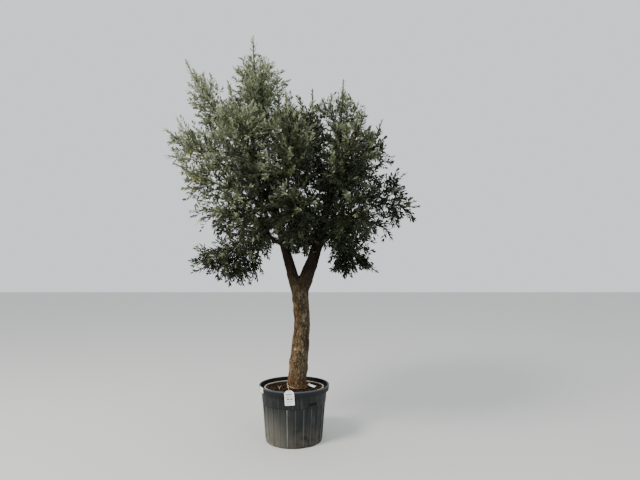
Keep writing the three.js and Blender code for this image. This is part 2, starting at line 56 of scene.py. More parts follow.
camera_data = bpy.data.cameras.new("camera")
camera_data.sensor_width = SENSOR_WIDTH
camera_data.lens = LENS
camera = bpy.data.objects.new("camera", camera_data)
camera.location = VIEWPOINT
camera.rotation_euler = (math.radians(90 + PITCH_UP), 0, 0)
bpy.context.scene.collection.objects.link(camera)
bpy.context.scene.camera = camera

sky = bpy.data.worlds.new("overcast")
sky.use_nodes = True
sky_light = sky.node_tree.nodes["Background"].inputs
sky_light["Color"].default_value = (0.86, 0.89, 0.92, 1)
sky_light["Strength"].default_value = 1.15
bpy.context.scene.world = sky


def soft_light(name, place, aim, size, watts, colour):
    """A square lamp that faces a point."""
    lamp = bpy.data.lights.new(name, "AREA")
    lamp.size = size
    lamp.energy = watts
    lamp.color = colour
    holder = bpy.data.objects.new(name, lamp)
    holder.location = place
    holder.rotation_euler = (Vector(aim) - Vector(place)).to_track_quat("-Z", "Y").to_euler()
    bpy.context.scene.collection.objects.link(holder)


soft_light("key_light", (-4.5, -4.5, 7.0), (0, 0, 1.8), 2.4, 780, (1.0, 0.95, 0.87))
soft_light("fill_light", (4.0, -5.0, 2.5), (0, 0, 1.5), 4.0, 90, (0.9, 0.95, 1.0))

bpy.ops.mesh.primitive_plane_add(size=60)
floor = bpy.context.object
floor.name = "floor"
floor_paint = bpy.data.materials.new("pale_floor")
floor_paint.use_nodes = True
floor_surface = floor_paint.node_tree.nodes["Principled BSDF"].inputs
floor_surface["Base Color"].default_value = (0.62, 0.62, 0.6, 1)
floor_surface["Roughness"].default_value = 0.9
floor.data.materials.append(floor_paint)


# The container: one moulding of black polyethylene, weathered to slate. It has a rolled rim over a
# deep collar, a plain band, then a ledge below which ribs run down to a foot notched for drainage.

POT_HEIGHT = 0.489
RIM_RADIUS = 0.315
COLLAR_FOOT = 0.439
WALL_UNDER_LEDGE = 0.276
RIBS = 24
RIB_PITCH = 2 * math.pi / RIBS
RIB_TURN = math.radians(-10)
RIB_PROUD = 0.005
RIB_FOOT, RIB_TOP = 0.016, 0.330
COLUMNS = 14 * RIBS  # the faces round the wall; a rib takes two of every fourteen
FOOT_EDGE = 0.2475
NOTCHES = 12
NOTCH_SIZE = (0.040, 0.040, 0.016)
NOTCH_RADIUS = 0.257
GRIP_SIZE = (0.092, 0.009, 0.025)
GRIP_RADIUS, GRIP_HEIGHT = 0.2862, 0.366
GRIP_TURN = math.radians(37)
GRIP_REACH = (0.047, 0.0126)  # a little over half its width and height
GRIP_DEPTHS = (0.2795, 0.2855)
COLLAR_DEPTHS = (0.291, 0.310)
LINING_RADIUS, LINING_FOOT = 0.3015, 0.445
NOTCH_ROUNDING, GRIP_ROUNDING = 0.004, 0.003

POT_PROFILE = [  # radius and height, from the middle of the foot up over the rim and down the inside
    (0, 0), (0.120, 0), (0.244, 0), (FOOT_EDGE, 0.0012), (0.2484, 0.005),
    (0.2493, RIB_FOOT), (0.2580, 0.120), (0.2668, 0.225), (0.2754, RIB_TOP),
    (WALL_UNDER_LEDGE, 0.3350), (0.2795, 0.3375), (0.2830, 0.3400), (0.2845, 0.3440),
    (0.2880, 0.390), (0.2915, 0.434), (0.2935, 0.4375), (0.3070, 0.4385), (0.3100, 0.4405),
    (0.3112, 0.4450), (0.3138, 0.474), (0.3148, 0.4810), (0.3142, 0.4858), (0.3120, 0.4884),
    (0.3090, POT_HEIGHT), (0.3045, 0.4882), (0.3012, 0.4860), (0.2998, 0.4820),
    (0.2975, 0.4560), (0.2955, 0.4520), (0.2890, 0.4500), (0.2868, 0.4470),
    (0.2700, 0.3330), (0.2420, 0.0120), (0, 0.0120),
]
WALL = np.array(POT_PROFILE[4:9])  # the part of it that bears the ribs


def lathed(name, profile, steps):
    """Draws half a cross-section by extruding one point along it, and spins it about the upright axis."""
    bpy.ops.mesh.primitive_plane_add(size=0.01)
    piece = bpy.context.object
    piece.name = name
    bpy.ops.object.mode_set(mode="EDIT")
    bpy.ops.mesh.merge(type="CENTER")
    bpy.ops.transform.translate(value=(profile[0][0], 0, profile[0][1]))
    for (radius, height), (next_radius, next_height) in zip(profile, profile[1:]):
        step = (next_radius - radius, 0, next_height - height)
        bpy.ops.mesh.extrude_region_move(TRANSFORM_OT_translate={"value": step})
    bpy.ops.mesh.select_all(action="SELECT")
    bpy.ops.mesh.spin(steps=steps, angle=2 * math.pi, center=(0, 0, 0), axis=(0, 0, 1))
    bpy.ops.mesh.select_all(action="SELECT")
    bpy.ops.mesh.remove_doubles(threshold=1e-5)
    bpy.ops.mesh.normals_make_consistent(inside=False)
    bpy.ops.object.mode_set(mode="OBJECT")
    return piece


def select(piece, kind, is_wanted):
    """In edit mode, selects just the faces or the edges that are wanted."""
    sheet = bmesh.from_edit_mesh(piece.data)
    sheet.select_mode = {kind}
    for part in sheet.faces if kind == "FACE" else sheet.edges:
        part.select = is_wanted(part)
    sheet.select_flush_mode()
    bmesh.update_edit_mesh(piece.data)


def pick(*pieces):
    """Selects just these pieces, and makes the first the active one."""
    bpy.ops.object.select_all(action="DESELECT")
    for piece in pieces:
        piece.select_set(True)
    bpy.context.view_layer.objects.active = pieces[0]


def finish_with(piece, kind, **settings):
    """Adds a modifier and applies it."""
    pick(piece)
    modifier = piece.modifiers.new(kind.lower(), kind)
    for name, value in settings.items():
        setattr(modifier, name, value)
    bpy.ops.object.modifier_apply(modifier=modifier.name)


def settle(piece):
    """Puts a piece's place into its mesh."""
    pick(piece)
    bpy.ops.object.transform_apply(location=True, rotation=True, scale=True)


def smooth(piece, degrees):
    """Shades a piece smoothly, apart from edges sharper than this."""
    pick(piece)
    bpy.ops.object.shade_smooth_by_angle(angle=math.radians(degrees))


def join(pieces, name):
    """Makes one piece of several."""
    pick(*pieces)
    bpy.ops.object.join()
    pieces[0].name = name
    return pieces[0]


def vertex_rows(piece, what):
    """Each vertex's place or normal."""
    rows = np.zeros(len(piece.data.vertices) * 3)
    piece.data.vertices.foreach_get(what, rows)
    return rows.reshape(-1, 3)


def keep_shares(piece, name, shares):
    """Stores a number for each vertex, under the name by which the paint reads it."""
    piece.data.attributes.new(name, "FLOAT", "POINT").data.foreach_set("value", shares)


pot = lathed("pot", POT_PROFILE, COLUMNS)


def on_a_rib(face):
    centre = face.calc_center_median()
    turn = (math.atan2(centre.x, -centre.y) - RIB_TURN + RIB_PITCH / 2) % RIB_PITCH - RIB_PITCH / 2
    outside = math.hypot(centre.x, centre.y) > FOOT_EDGE
    return outside and RIB_FOOT < centre.z < RIB_TOP and abs(turn) < RIB_PITCH / 14


bpy.ops.object.mode_set(mode="EDIT")
select(pot, "FACE", on_a_rib)
bpy.ops.mesh.extrude_region_move(TRANSFORM_OT_translate={"value": (0, 0, 0)})
wider = 1 + RIB_PROUD / WALL_UNDER_LEDGE
bpy.ops.transform.resize(value=(wider, wider, 1), center_override=(0, 0, 0))
bpy.ops.object.mode_set(mode="OBJECT")
finish_with(pot, "BEVEL", width=0.0011, segments=2, limit_method="ANGLE", angle_limit=math.radians(50))


def box(size, place, turn=0):
    bpy.ops.mesh.primitive_cube_add(size=1)
    piece = bpy.context.object
    piece.scale = size
    piece.location = place
    piece.rotation_euler = (0, 0, turn)
    settle(piece)
    return piece


def cutter(size, radius, height, turn, rounding):
    """A box with rounded edges, placed round the pot."""
    piece = box(size, (radius * math.sin(turn), -radius * math.cos(turn), height), turn)
    finish_with(piece, "BEVEL", width=rounding, segments=3)
    return piece


cutters = []
for i in range(NOTCHES):
    turn = RIB_TURN + math.radians(7.5) + i * 2 * math.pi / NOTCHES  # between two ribs
    cutters.append(cutter(NOTCH_SIZE, NOTCH_RADIUS, 0, turn, NOTCH_ROUNDING))
for turn in (GRIP_TURN, GRIP_TURN + math.pi):
    cutters.append(cutter(GRIP_SIZE, GRIP_RADIUS, GRIP_HEIGHT, turn, GRIP_ROUNDING))
openings = join(cutters, "openings")
finish_with(pot, "BOOLEAN", object=openings, operation="DIFFERENCE", solver="EXACT")
bpy.data.objects.remove(openings)
smooth(pot, 38)


def opaque(colour):
    """A plain colour with its alpha, or another node's outcome as it is."""
    return (*colour, 1) if isinstance(colour, tuple) else colour


class Paint:
    """A material, whose looks are built up in layers. A value may be plain or another node's outcome."""

    def __init__(self, name, roughness, shine=0.5):
        self.material = bpy.data.materials.new(name)
        self.material.use_nodes = True
        self.tree = self.material.node_tree
        self.shader = self.tree.nodes["Principled BSDF"].inputs
        self.feed(self.shader["Roughness"], roughness)
        self.feed(self.shader["Specular IOR Level"], shine)

    def feed(self, socket, value):
        if isinstance(value, bpy.types.NodeSocket):
            self.tree.links.new(value, socket)
        else:
            socket.default_value = value

    def node(self, kind, outcome, values, **settings):
        """Adds a node with its settings, feeds its inputs and gives its outcome."""
        made = self.tree.nodes.new("ShaderNode" + kind)
        for name, setting in settings.items():
            setattr(made, name, setting)
        for name, value in values.items():
            self.feed(made.inputs[name], value)
        return made.outputs[outcome]

    def attribute(self, name):
        return self.node("Attribute", "Fac", {}, attribute_name=name)

    def clouds(self, stretch, scale=1.0, detail=4.0):
        """Fractal noise in the piece's own space, drawn out by a scale for each axis."""
        place = self.node("TexCoord", "Object", {})
        vector = self.node("Mapping", "Vector", {"Vector": place, "Scale": stretch})
        values = {"Vector": vector, "Scale": scale, "Detail": detail, "Roughness": 0.6}
        return self.node("TexNoise", "Fac", values)

    def between(self, axis, low, high):
        """0 before one place on an axis and 1 past another."""
        level = self.node("SeparateXYZ", axis, {"Vector": self.node("TexCoord", "Object", {})})
        return self.node("MapRange", "Result", {"From Min": low, "From Max": high, "Value": level})

    def product(self, *factors):
        result = factors[0]
        for factor in factors[1:]:
            result = self.node("Math", "Value", {0: result, 1: factor}, operation="MULTIPLY")
        return result

    def ramp(self, source, *stops):
        """A colour, or a number for a grey, for each value of the source, from its (place, colour) stops."""
        made = self.tree.nodes.new("ShaderNodeValToRGB")
        band = made.color_ramp.elements
        while len(band) < len(stops):
            band.new(0.5)
        for element, (place, colour) in zip(band, stops):
            element.position = place
            element.color = opaque(colour if isinstance(colour, tuple) else (colour,) * 3)
        self.feed(made.inputs["Fac"], source)
        return made.outputs["Color"]

    def mix(self, share, first, second):
        """Two colours by the share of the second."""
        values = {"Factor": share, 6: opaque(first), 7: opaque(second)}
        return self.node("Mix", 2, values, data_type="RGBA")

    def bump(self, height, strength, distance):
        values = {"Strength": strength, "Distance": distance, "Height": height}
        self.feed(self.shader["Normal"], self.node("Bump", "Normal", values))

    def finish(self, colour):
        """Sets the base colour, and gives the material."""
        self.feed(self.shader["Base Color"], opaque(colour))
        return self.material


def plain(name, colour, roughness, shine=0.3):
    """A plain base colour, for small pieces that come in several shades."""
    return Paint(name, roughness, shine).finish(colour)


def mottled(name, roughness, shine, stretch, *stops, detail=4.0):
    """Colours that wander into each other in soft patches."""
    paint = Paint(name, roughness, shine)
    return paint.finish(paint.ramp(paint.clouds(stretch, detail=detail), *stops))


def weathered_and_lit_plastic():
    """Black plastic gone slate grey, darkest on the collar, with dust low down, runs of water marks and
    painted light: a paler lower left, and painted highlights on the rib edges and the rim's lip.
    """
    paint = Paint("weathered_and_lit_plastic", 0.6, 0.2)
    faded = paint.ramp(paint.clouds((7, 7, 5)), (0.3, (0.007, 0.008, 0.009)), (0.7, (0.017, 0.019, 0.020)))
    runs = paint.clouds((46, 46, 2.2), detail=5.0)
    streaked = paint.mix(paint.ramp(runs, (0.48, 0), (0.72, 0.5)), faded, (0.072, 0.075, 0.070))
    # Painted light: the lower left, which faces the light, is painted paler and greyer.
    painted_lit_side = paint.product(paint.between("Z", 0.34, 0.04), paint.between("X", 0.03, -0.24))
    with_lit_side = paint.mix(painted_lit_side, streaked, (0.185, 0.178, 0.146))
    patches = paint.ramp(paint.clouds((9, 9, 16), detail=6.0), (0.42, 0), (0.60, 0.8))
    dust = paint.product(paint.between("Z", 0.20, 0.02), patches, 0.9)
    dusted = paint.mix(dust, with_lit_side, (0.085, 0.068, 0.050))
    # Painted highlights on the ribs' outer edges, broken up by noise.
    highlight_breaks = paint.ramp(paint.clouds((13, 13, 3), detail=3.0), (0.36, 0.15), (0.64, 0.7))
    ribbed = paint.mix(paint.product(paint.attribute("rib_highlight"), highlight_breaks), dusted, (0.185, 0.190, 0.175))
    collar = paint.product(paint.between("Z", 0.428, 0.440), 0.72)
    darkened = paint.mix(collar, ribbed, (0.006, 0.007, 0.009))
    # Painted highlight: the rim's lip is painted a paler blue grey, as it catches the light.
    rim = paint.product(paint.between("Z", 0.474, 0.483), 0.75)
    paint.feed(paint.shader["Roughness"], paint.ramp(runs, (0.3, 0.45), (0.8, 0.75)))
    paint.bump(paint.clouds((1, 1, 0.5), 420.0, 2.0), 0.25, 0.0006)
    return paint.finish(paint.mix(rim, darkened, (0.070, 0.082, 0.092)))


# Painted highlights: the ribs' outer edges are painted paler than the wall, as light catches them, the one in
# front most of all.
corners = vertex_rows(pot, "co")
proud = np.hypot(corners[:, 0], corners[:, 1]) - np.interp(corners[:, 2], WALL[:, 1], WALL[:, 0])
on_edge = (proud > RIB_PROUD * 0.6) & (corners[:, 2] > RIB_FOOT) & (corners[:, 2] < RIB_TOP)
turns = np.arctan2(corners[:, 0], -corners[:, 1]) - RIB_TURN
highlight_strength = np.random.default_rng(3).uniform(0.1, 0.6, RIBS)
highlight_strength[0] = 1.6
keep_shares(pot, "rib_highlight", on_edge * highlight_strength[np.round(turns / RIB_PITCH).astype(int) % RIBS])


def is_sheltered_in_shade(face):
    """Inside the grips, under the collar and on the inner wall above the mix, sun and dust don't reach, and
    these faces are painted near black as painted shade.
    """
    across, depth = math.atan2(face.center.x, -face.center.y), math.hypot(face.center.x, face.center.y)
    off_grip = abs((across - GRIP_TURN + math.pi / 2) % math.pi - math.pi / 2) * GRIP_RADIUS
    by_grip = off_grip < GRIP_REACH[0] and abs(face.center.z - GRIP_HEIGHT) < GRIP_REACH[1]
    in_grip = by_grip and GRIP_DEPTHS[0] < depth < GRIP_DEPTHS[1]
    at_collar = COLLAR_FOOT - 0.004 < face.center.z < COLLAR_FOOT
    under_collar = at_collar and COLLAR_DEPTHS[0] < depth < COLLAR_DEPTHS[1]
    return in_grip or under_collar or (depth < LINING_RADIUS and face.center.z > LINING_FOOT)


pot.data.materials.append(weathered_and_lit_plastic())
# Painted shade: these faces take a near black plastic, darker than the weathered wall, where shade falls in
# the recesses.
shaded_sheltered_tones = (0.3, (0.003, 0.003, 0.003)), (0.7, (0.010, 0.011, 0.011))
pot.data.materials.append(mottled("shaded_sheltered_plastic", 0.8, 0.15, (60, 60, 60), *shaded_sheltered_tones))
for face in pot.data.polygons:
    face.material_index = int(is_sheltered_in_shade(face))
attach(pot, "root")
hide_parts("pot")


# The potting mix: peat and composted bark, heaped a little round the trunk. It is a lumpy solid with
# loose chips of bark, crumbs and a few straws lying on it.

SOIL_EDGE = 0.452
SOIL_TOP = 0.459
SOIL_SLOPE = 0.022  # it lies higher towards the front
SOIL_FLAT = 0.110
SOIL_RADIUS = 0.2868
SOIL_RINGS = 40
SOIL_SIDE = [(0, 0.0124), (0.2412, 0.0124), (0.2692, 0.3330)]  # just inside the container's own
LUMP_RATE, LUMP_HEIGHT = 38, 0.0042
CRUMB_RATE, CRUMB_HEIGHT = 110, 0.0028
TRUNK_FOOT = (0.026, 0)
TRUNK_CLEARANCE = 0.097
SCATTER_RADIUS = 0.280
CHIP_CORNERS = np.array(
    [
        (-0.5, -0.40, -0.5), (0.46, -0.5, -0.5), (0.5, 0.36, -0.5), (-0.42, 0.5, -0.5),
        (-0.40, -0.3, 0.5), (0.34, -0.42, 0.42), (0.42, 0.28, 0.5), (-0.3, 0.36, 0.38),
    ]
)
CHIP_FACES = np.array([(0, 3, 2, 1), (4, 5, 6, 7), (0, 1, 5, 4), (1, 2, 6, 5), (2, 3, 7, 6), (3, 0, 4, 7)])


def soil_height(x, y):
    share = (SOIL_RADIUS - math.hypot(x, y)) / (SOIL_RADIUS - SOIL_FLAT)
    return SOIL_EDGE + (SOIL_TOP - SOIL_EDGE) * min(1, max(0, share)) - y * SOIL_SLOPE


def broad_lump(x, y):
    """The broad lumps of the mix, on which the chips lie."""
    return noise.noise(Vector((x, y, 0)) * LUMP_RATE) * LUMP_HEIGHT


radii = [SOIL_RADIUS * (1 - i / SOIL_RINGS) for i in range(SOIL_RINGS + 1)]
soil = lathed("soil", [*SOIL_SIDE, *[(radius, soil_height(radius, 0)) for radius in radii]], 150)
for vertex in soil.data.vertices:
    x, y, z = vertex.co
    if z > SOIL_EDGE - 0.001:
        crumbs = noise.noise(Vector((x, y, 3)) * CRUMB_RATE) * CRUMB_HEIGHT
        vertex.co.z = soil_height(x, y) + (broad_lump(x, y) + crumbs)
smooth(soil, 180)

rng = np.random.default_rng(7)


def made_of(name, corners, faces, paints=(), shades=None):
    """A new piece from its corners and faces, with the number of its paint for each face."""
    mesh = bpy.data.meshes.new(name)
    mesh.from_pydata(corners.tolist(), [], faces)
    for paint in paints:
        mesh.materials.append(paint)
    if shades is not None:
        mesh.polygons.foreach_set("material_index", shades.astype(np.int32))
    piece = bpy.data.objects.new(name, mesh)
    bpy.context.scene.collection.objects.link(piece)
    return piece


def scattered(name, count, sizes, tilt, paints):
    """Loose bits strewn on the potting mix, clear of the trunk. Each takes one of the paints."""
    corners, shades = [], []
    while len(corners) < count:
        radius = SCATTER_RADIUS * math.sqrt(rng.random())
        turn = rng.random() * 2 * math.pi
        place = Vector((radius * math.cos(turn), radius * math.sin(turn), 0))
        if math.dist(place[:2], TRUNK_FOOT) < TRUNK_CLEARANCE:
            continue
        size = [low + (high - low) * rng.random() ** 2 for low, high in sizes]
        place.z = soil_height(place.x, place.y) + broad_lump(place.x, place.y) + size[2] * 0.4
        lean = Matrix.Rotation((rng.random() - 0.5) * tilt, 3, "X")
        spun = Matrix.Rotation(rng.random() * 2 * math.pi, 3, "Z")
        corners.append(CHIP_CORNERS * size @ np.array(spun @ lean).T + np.array(place))
        shades.append(rng.integers(len(paints)))
    faces = (CHIP_FACES[None] + len(CHIP_CORNERS) * np.arange(count)[:, None, None]).reshape(-1, 4)
    shades = np.repeat(shades, len(CHIP_FACES))
    return made_of(name, np.concatenate(corners), faces.tolist(), paints, shades)


def potting_mix():
    paint = Paint("potting_mix", 0.95, 0.1)
    crumbs = paint.clouds((1, 1, 1), 160.0, 6.0)
    paint.bump(crumbs, 0.9, 0.003)
    dark, brown, pale = (0.0015, 0.001, 0.0007), (0.004, 0.0025, 0.0015), (0.014, 0.008, 0.004)
    return paint.finish(paint.ramp(crumbs, (0.3, dark), (0.55, brown), (0.8, pale)))


soil.data.materials.append(potting_mix())
bark_shades = [
    plain("chip_dark", (0.004, 0.003, 0.002), 0.95, 0.1),
    plain("chip_red", (0.022, 0.009, 0.005), 0.9, 0.1),
    plain("chip_brown", (0.012, 0.007, 0.004), 0.9, 0.1),
    plain("chip_tan", (0.060, 0.036, 0.019), 0.9, 0.15),
]
CHIP_SIZES = [(0.006, 0.028), (0.004, 0.013), (0.002, 0.006)]
STRAW_SIZES = [(0.030, 0.085), (0.0014, 0.0028), (0.001, 0.002)]
chips = scattered("bark_chips", 1500, CHIP_SIZES, 1.0, bark_shades)
straw_shades = [plain("straw", (0.36, 0.27, 0.13), 0.8), plain("dry_twig", (0.20, 0.14, 0.09), 0.9)]
straws = scattered("straws", 60, STRAW_SIZES, 0.3, straw_shades)
for piece in (soil, chips, straws):
    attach(piece, "root")
    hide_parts("soil")


# The drip ring: a loop of thin polythene pipe that waters the pot, bleached tan and lying just inside
# the wall. Its two ends are pushed on to a short black joiner at the back.

RING_RADIUS = 0.262
PIPE_RADIUS = 0.006
RING_HEIGHT = 0.4625
RING_SLOPE = 0.030  # it follows the potting mix, and springs up a little in front
RING_SWAY = 0.006  # how far it strays from a true circle
JOINER_LENGTH = 0.045

bpy.ops.mesh.primitive_torus_add(
    major_radius=RING_RADIUS, minor_radius=PIPE_RADIUS, major_segments=160, minor_segments=12
)
drip_ring = bpy.context.object
drip_ring.name = "drip_ring"
for vertex in drip_ring.data.vertices:
    turn = math.atan2(vertex.co.y, vertex.co.x)
    sway = 1 + RING_SWAY * noise.noise(Vector((math.cos(turn), math.sin(turn), 0)) * 1.7)
    level = RING_HEIGHT - vertex.co.y * RING_SLOPE
    vertex.co = (vertex.co.x * sway, vertex.co.y * sway, vertex.co.z + level)
bpy.ops.mesh.primitive_cylinder_add(
    radius=PIPE_RADIUS * 1.3,
    depth=JOINER_LENGTH,
    vertices=24,
    location=(0, RING_RADIUS, RING_HEIGHT - RING_RADIUS * RING_SLOPE),
    rotation=(0, math.pi / 2, 0),
)
joiner = bpy.context.object
settle(joiner)
finish_with(joiner, "BEVEL", width=0.0015, segments=3)

pipe_tones = (0.35, (0.26, 0.23, 0.18)), (0.65, (0.46, 0.41, 0.33))
drip_ring.data.materials.append(mottled("bleached_pipe", 0.55, 0.5, (30, 30, 30), *pipe_tones))
joiner.data.materials.append(plain("black_joiner", (0.02, 0.02, 0.02), 0.5))
drip_ring = join([drip_ring, joiner], "drip_ring")
smooth(drip_ring, 40)
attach(drip_ring, "root")
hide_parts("drip_ring")


# The limbs: one trunk that rises from a slight flare, leans and swells to its fork, two main boughs and
# the side boughs on them. Their centre lines are the solids' own. Grey-brown bark covers them, split
# into upright furrows on the old wood and smoother on the young.

TRUNK_STATIONS = [  # height, sideways place, depth and radius
    (0.444, 0.026, 0, 0.0945),
    (0.490, 0.027, 0, 0.087),
    (0.560, 0.030, 0.002, 0.085),
    (0.800, 0.052, 0.006, 0.079),
    (1.050, 0.068, 0.004, 0.073),
    (1.240, 0.056, 0, 0.076),
    (1.380, 0.044, 0, 0.080),
]
MAIN_BOUGHS = {  # a Bézier curve's four points, and the radii at its ends
    "bough_left": (
        [(0.025, 0, 1.320), (-0.060, -0.008, 1.600), (-0.200, -0.014, 2.060), (-0.230, 0, 2.460)],
        (0.058, 0.015),
    ),
    "bough_right": (
        [(0.052, 0, 1.320), (0.172, 0.006, 1.570), (0.310, 0.014, 2.000), (0.355, 0, 2.480)],
        (0.074, 0.017),
    ),
}
MASSES = {  # main bough, share of its length, foot, tip, spread and lift
    "top": ("bough_left", 1, (-0.230, 0, 2.460), (-0.401, 0, 3.696), 0.350, 0.5),
    "left_high": ("bough_left", 0.78, (-0.450, 0.050, 2.560), (-1.045, 0.070, 3.490), 0.270, 0.4),
    "left_far": ("bough_left", 0.7, (-0.470, -0.040, 2.370), (-1.195, -0.050, 2.800), 0.290, 0.2),
    "left_middle": ("bough_left", 0.55, (-0.400, -0.130, 2.160), (-1.040, -0.250, 2.440), 0.290, 0),
    "left_low": ("bough_left", 0.46, (-0.370, 0.060, 1.990), (-0.880, 0.100, 2.100), 0.280, -0.1),
    "left_skirt": ("bough_left", 0.34, (-0.310, -0.050, 1.810), (-0.890, -0.140, 1.490), 0.290, -0.3),
    "middle_top": ("bough_right", 0.72, (0.090, 0.050, 2.250), (0.160, 0.050, 3.200), 0.330, 0.3),
    "right_top": ("bough_right", 1, (0.355, 0, 2.480), (0.450, 0, 3.270), 0.320, 0.5),
    "right_high": ("bough_right", 0.84, (0.520, 0.050, 2.310), (0.820, 0.080, 2.920), 0.280, 0.3),
    "right_far": ("bough_right", 0.7, (0.480, -0.030, 2.190), (1.120, -0.060, 2.080), 0.310, 0),
    "right_low": ("bough_right", 0.52, (0.430, 0.040, 1.990), (0.870, 0.040, 1.940), 0.300, -0.2),
    "right_skirt": ("bough_right", 0.37, (0.340, -0.060, 1.830), (0.730, -0.120, 1.500), 0.280, -0.3),
    "front_top": ("bough_left", 0.5, (-0.040, -0.220, 2.120), (-0.030, -0.810, 2.850), 0.380, 0.2),
    "front_left": ("bough_left", 0.65, (-0.310, -0.190, 2.250), (-0.500, -0.640, 3.000), 0.350, 0.3),
    "front_right": ("bough_right", 0.65, (0.320, -0.190, 2.200), (0.570, -0.810, 2.680), 0.370, 0.3),
    "front_low": ("bough_right", 0.44, (0.080, -0.180, 1.950), (0.020, -0.960, 2.090), 0.330, -0.1),
    "front_low_left": ("bough_left", 0.42, (-0.230, -0.190, 1.950), (-0.580, -0.810, 1.960), 0.320, -0.3),
    "front_low_right": ("bough_right", 0.48, (0.310, -0.180, 1.960), (0.610, -0.780, 1.970), 0.320, -0.3),
    "back_top": ("bough_left", 0.86, (-0.060, 0.190, 2.450), (0, 0.650, 3.180), 0.340, 0.4),
    "back_left": ("bough_left", 0.6, (-0.310, 0.210, 2.220), (-0.650, 0.870, 2.760), 0.380, 0.3),
    "back_right": ("bough_right", 0.6, (0.340, 0.230, 2.210), (0.640, 0.880, 2.700), 0.380, 0.3),
    "back_low": ("bough_right", 0.34, (0.060, 0.180, 1.900), (0, 0.990, 2.080), 0.320, -0.2),
    "back_low_left": ("bough_left", 0.38, (-0.220, 0.190, 1.930), (-0.590, 0.820, 1.930), 0.320, -0.3),
    "back_low_right": ("bough_right", 0.4, (0.270, 0.200, 1.930), (0.580, 0.830, 1.950), 0.320, -0.3),
}
SIDE_BOUGH_RADII = (0.018, 0.011)
SIDE_BOUGH_PULL = 0.34
LIMB_OVERRUN = 0.012  # into the stem that grows on from it


def unit(vector):
    vector = np.asarray(vector, float)
    return vector / np.maximum(np.linalg.norm(vector, axis=-1, keepdims=True), 1e-9)


class Limb:
    """A Bézier curve measured by its length, with a radius that tapers evenly along it."""

    def __init__(self, controls, radii):
        self.controls = np.array(controls, float)
        self.radii = radii
        self.steps = np.linspace(0, 1, 201)
        runs = np.linalg.norm(np.diff(self.curve(self.steps), axis=0), axis=1)
        self.length = runs.sum()
        self.shares = np.concatenate([[0], np.cumsum(runs)]) / self.length
        self.samples = self.point(np.linspace(0, 1, 41))
        self.sample_radii = self.radius(np.linspace(0, 1, 41))

    def curve(self, t):
        a, b, c, d = self.controls
        t = np.asarray(t, float)[..., None]
        return (1 - t) ** 3 * a + 3 * (1 - t) ** 2 * t * b + 3 * (1 - t) * t**2 * c + t**3 * d

    def point(self, share):
        return self.curve(np.interp(share, self.shares, self.steps))

    def tangent(self, share):
        a, b, c, d = self.controls
        t = np.asarray(np.interp(share, self.shares, self.steps), float)[..., None]
        return unit((1 - t) ** 2 * (b - a) + 2 * (1 - t) * t * (c - b) + t**2 * (d - c))

    def radius(self, share):
        return self.radii[0] + (self.radii[1] - self.radii[0]) * np.asarray(share, float)


def side_bough(parent, at, foot, tip):
    """It leaves its parent at an angle and arrives along its mass's own axis."""
    start, foot = parent.point(at), np.array(foot)
    pull = np.linalg.norm(foot - start) * SIDE_BOUGH_PULL
    leave = unit(unit(foot - start) + parent.tangent(at))
    arrive = unit(np.array(tip) - foot)
    base = min(SIDE_BOUGH_RADII[0], float(parent.radius(at)) * 0.72)
    return Limb([start, start + leave * pull, foot - arrive * pull, foot], (base, SIDE_BOUGH_RADII[1]))


limbs = {name: Limb(*shape) for name, shape in MAIN_BOUGHS.items()}
carriers = {}  # the limb that each mass's stem grows on from
for name, (on, at, foot, tip, _, _) in MASSES.items():
    carriers[name] = limbs[on]
    if at < 1:
        carriers[name] = limbs[f"bough_{name}"] = side_bough(limbs[on], at, foot, tip)


def round_limb(name, places, handles, radii):
    """A Bézier curve with a round section and capped ends, made a mesh. Handles are (left, right) pairs."""
    bpy.ops.curve.primitive_bezier_curve_add()
    curve = bpy.context.object
    curve.data.bevel_depth = 1
    curve.data.bevel_resolution = 6
    curve.data.use_fill_caps = True
    spline = curve.data.splines[0]
    spline.resolution_u = 24
    spline.bezier_points.add(len(places) - 2)
    for point, place, radius in zip(spline.bezier_points, places, radii):
        point.co = place
        point.radius = radius
        point.handle_left_type = point.handle_right_type = "FREE" if handles else "AUTO"
    for point, (left, right) in zip(spline.bezier_points, handles or []):
        point.handle_left = left
        point.handle_right = right
    pick(curve)
    bpy.ops.object.convert(target="MESH")
    piece = bpy.context.object
    piece.name = name
    return piece


trunk_places = [(x, y, height) for height, x, y, _ in TRUNK_STATIONS]
parts = [round_limb("trunk_core", trunk_places, None, [radius for *_, radius in TRUNK_STATIONS])]
for name, limb in limbs.items():
    a, b, c, d = limb.controls
    overrun = limb.tangent(1) * LIMB_OVERRUN
    parts.append(round_limb(name, [a, d + overrun], [(a, b), (c + overrun, d + overrun * 2)], limb.radii))
bark = join(parts, "trunk_and_boughs")
finish_with(bark, "REMESH", mode="VOXEL", voxel_size=0.0048)
finish_with(bark, "SMOOTH", factor=0.5, iterations=5)

CUT_RADIUS = 0.010
YOUNG_RADIUS, OLD_RADIUS = 0.012, 0.067  # smooth bark below the one, fully furrowed above the other
RIDGE_HEIGHTS = (0.0010, 0.0024)  # on the youngest wood, and how much age adds
SPLIT_DEPTHS = (0.0005, 0.0016)
BULGE, GRAIN = 0.0045, 0.0006
FLARE_FOOT, FLARE_HEIGHT = 0.45, 0.045
FLARE_SWELL, FLARE_RIDGE, FLARE_RIDGES = 0.0035, 0.0045, 5
BURRS = [  # old swellings: place, reach and height; on the first, a shoot was cut off
    ((0.010, -0.066, 0.803), 0.020, 0.010),
    ((-0.040, -0.020, 0.690), 0.036, 0.010),
    ((0.125, -0.030, 1.020), 0.030, 0.007),
    ((0.010, 0.080, 0.930), 0.028, 0.009),
    ((0.110, 0.020, 0.620), 0.034, 0.008),
    ((-0.020, -0.050, 1.230), 0.030, 0.008),
    ((0.130, -0.045, 1.420), 0.030, 0.009),
]

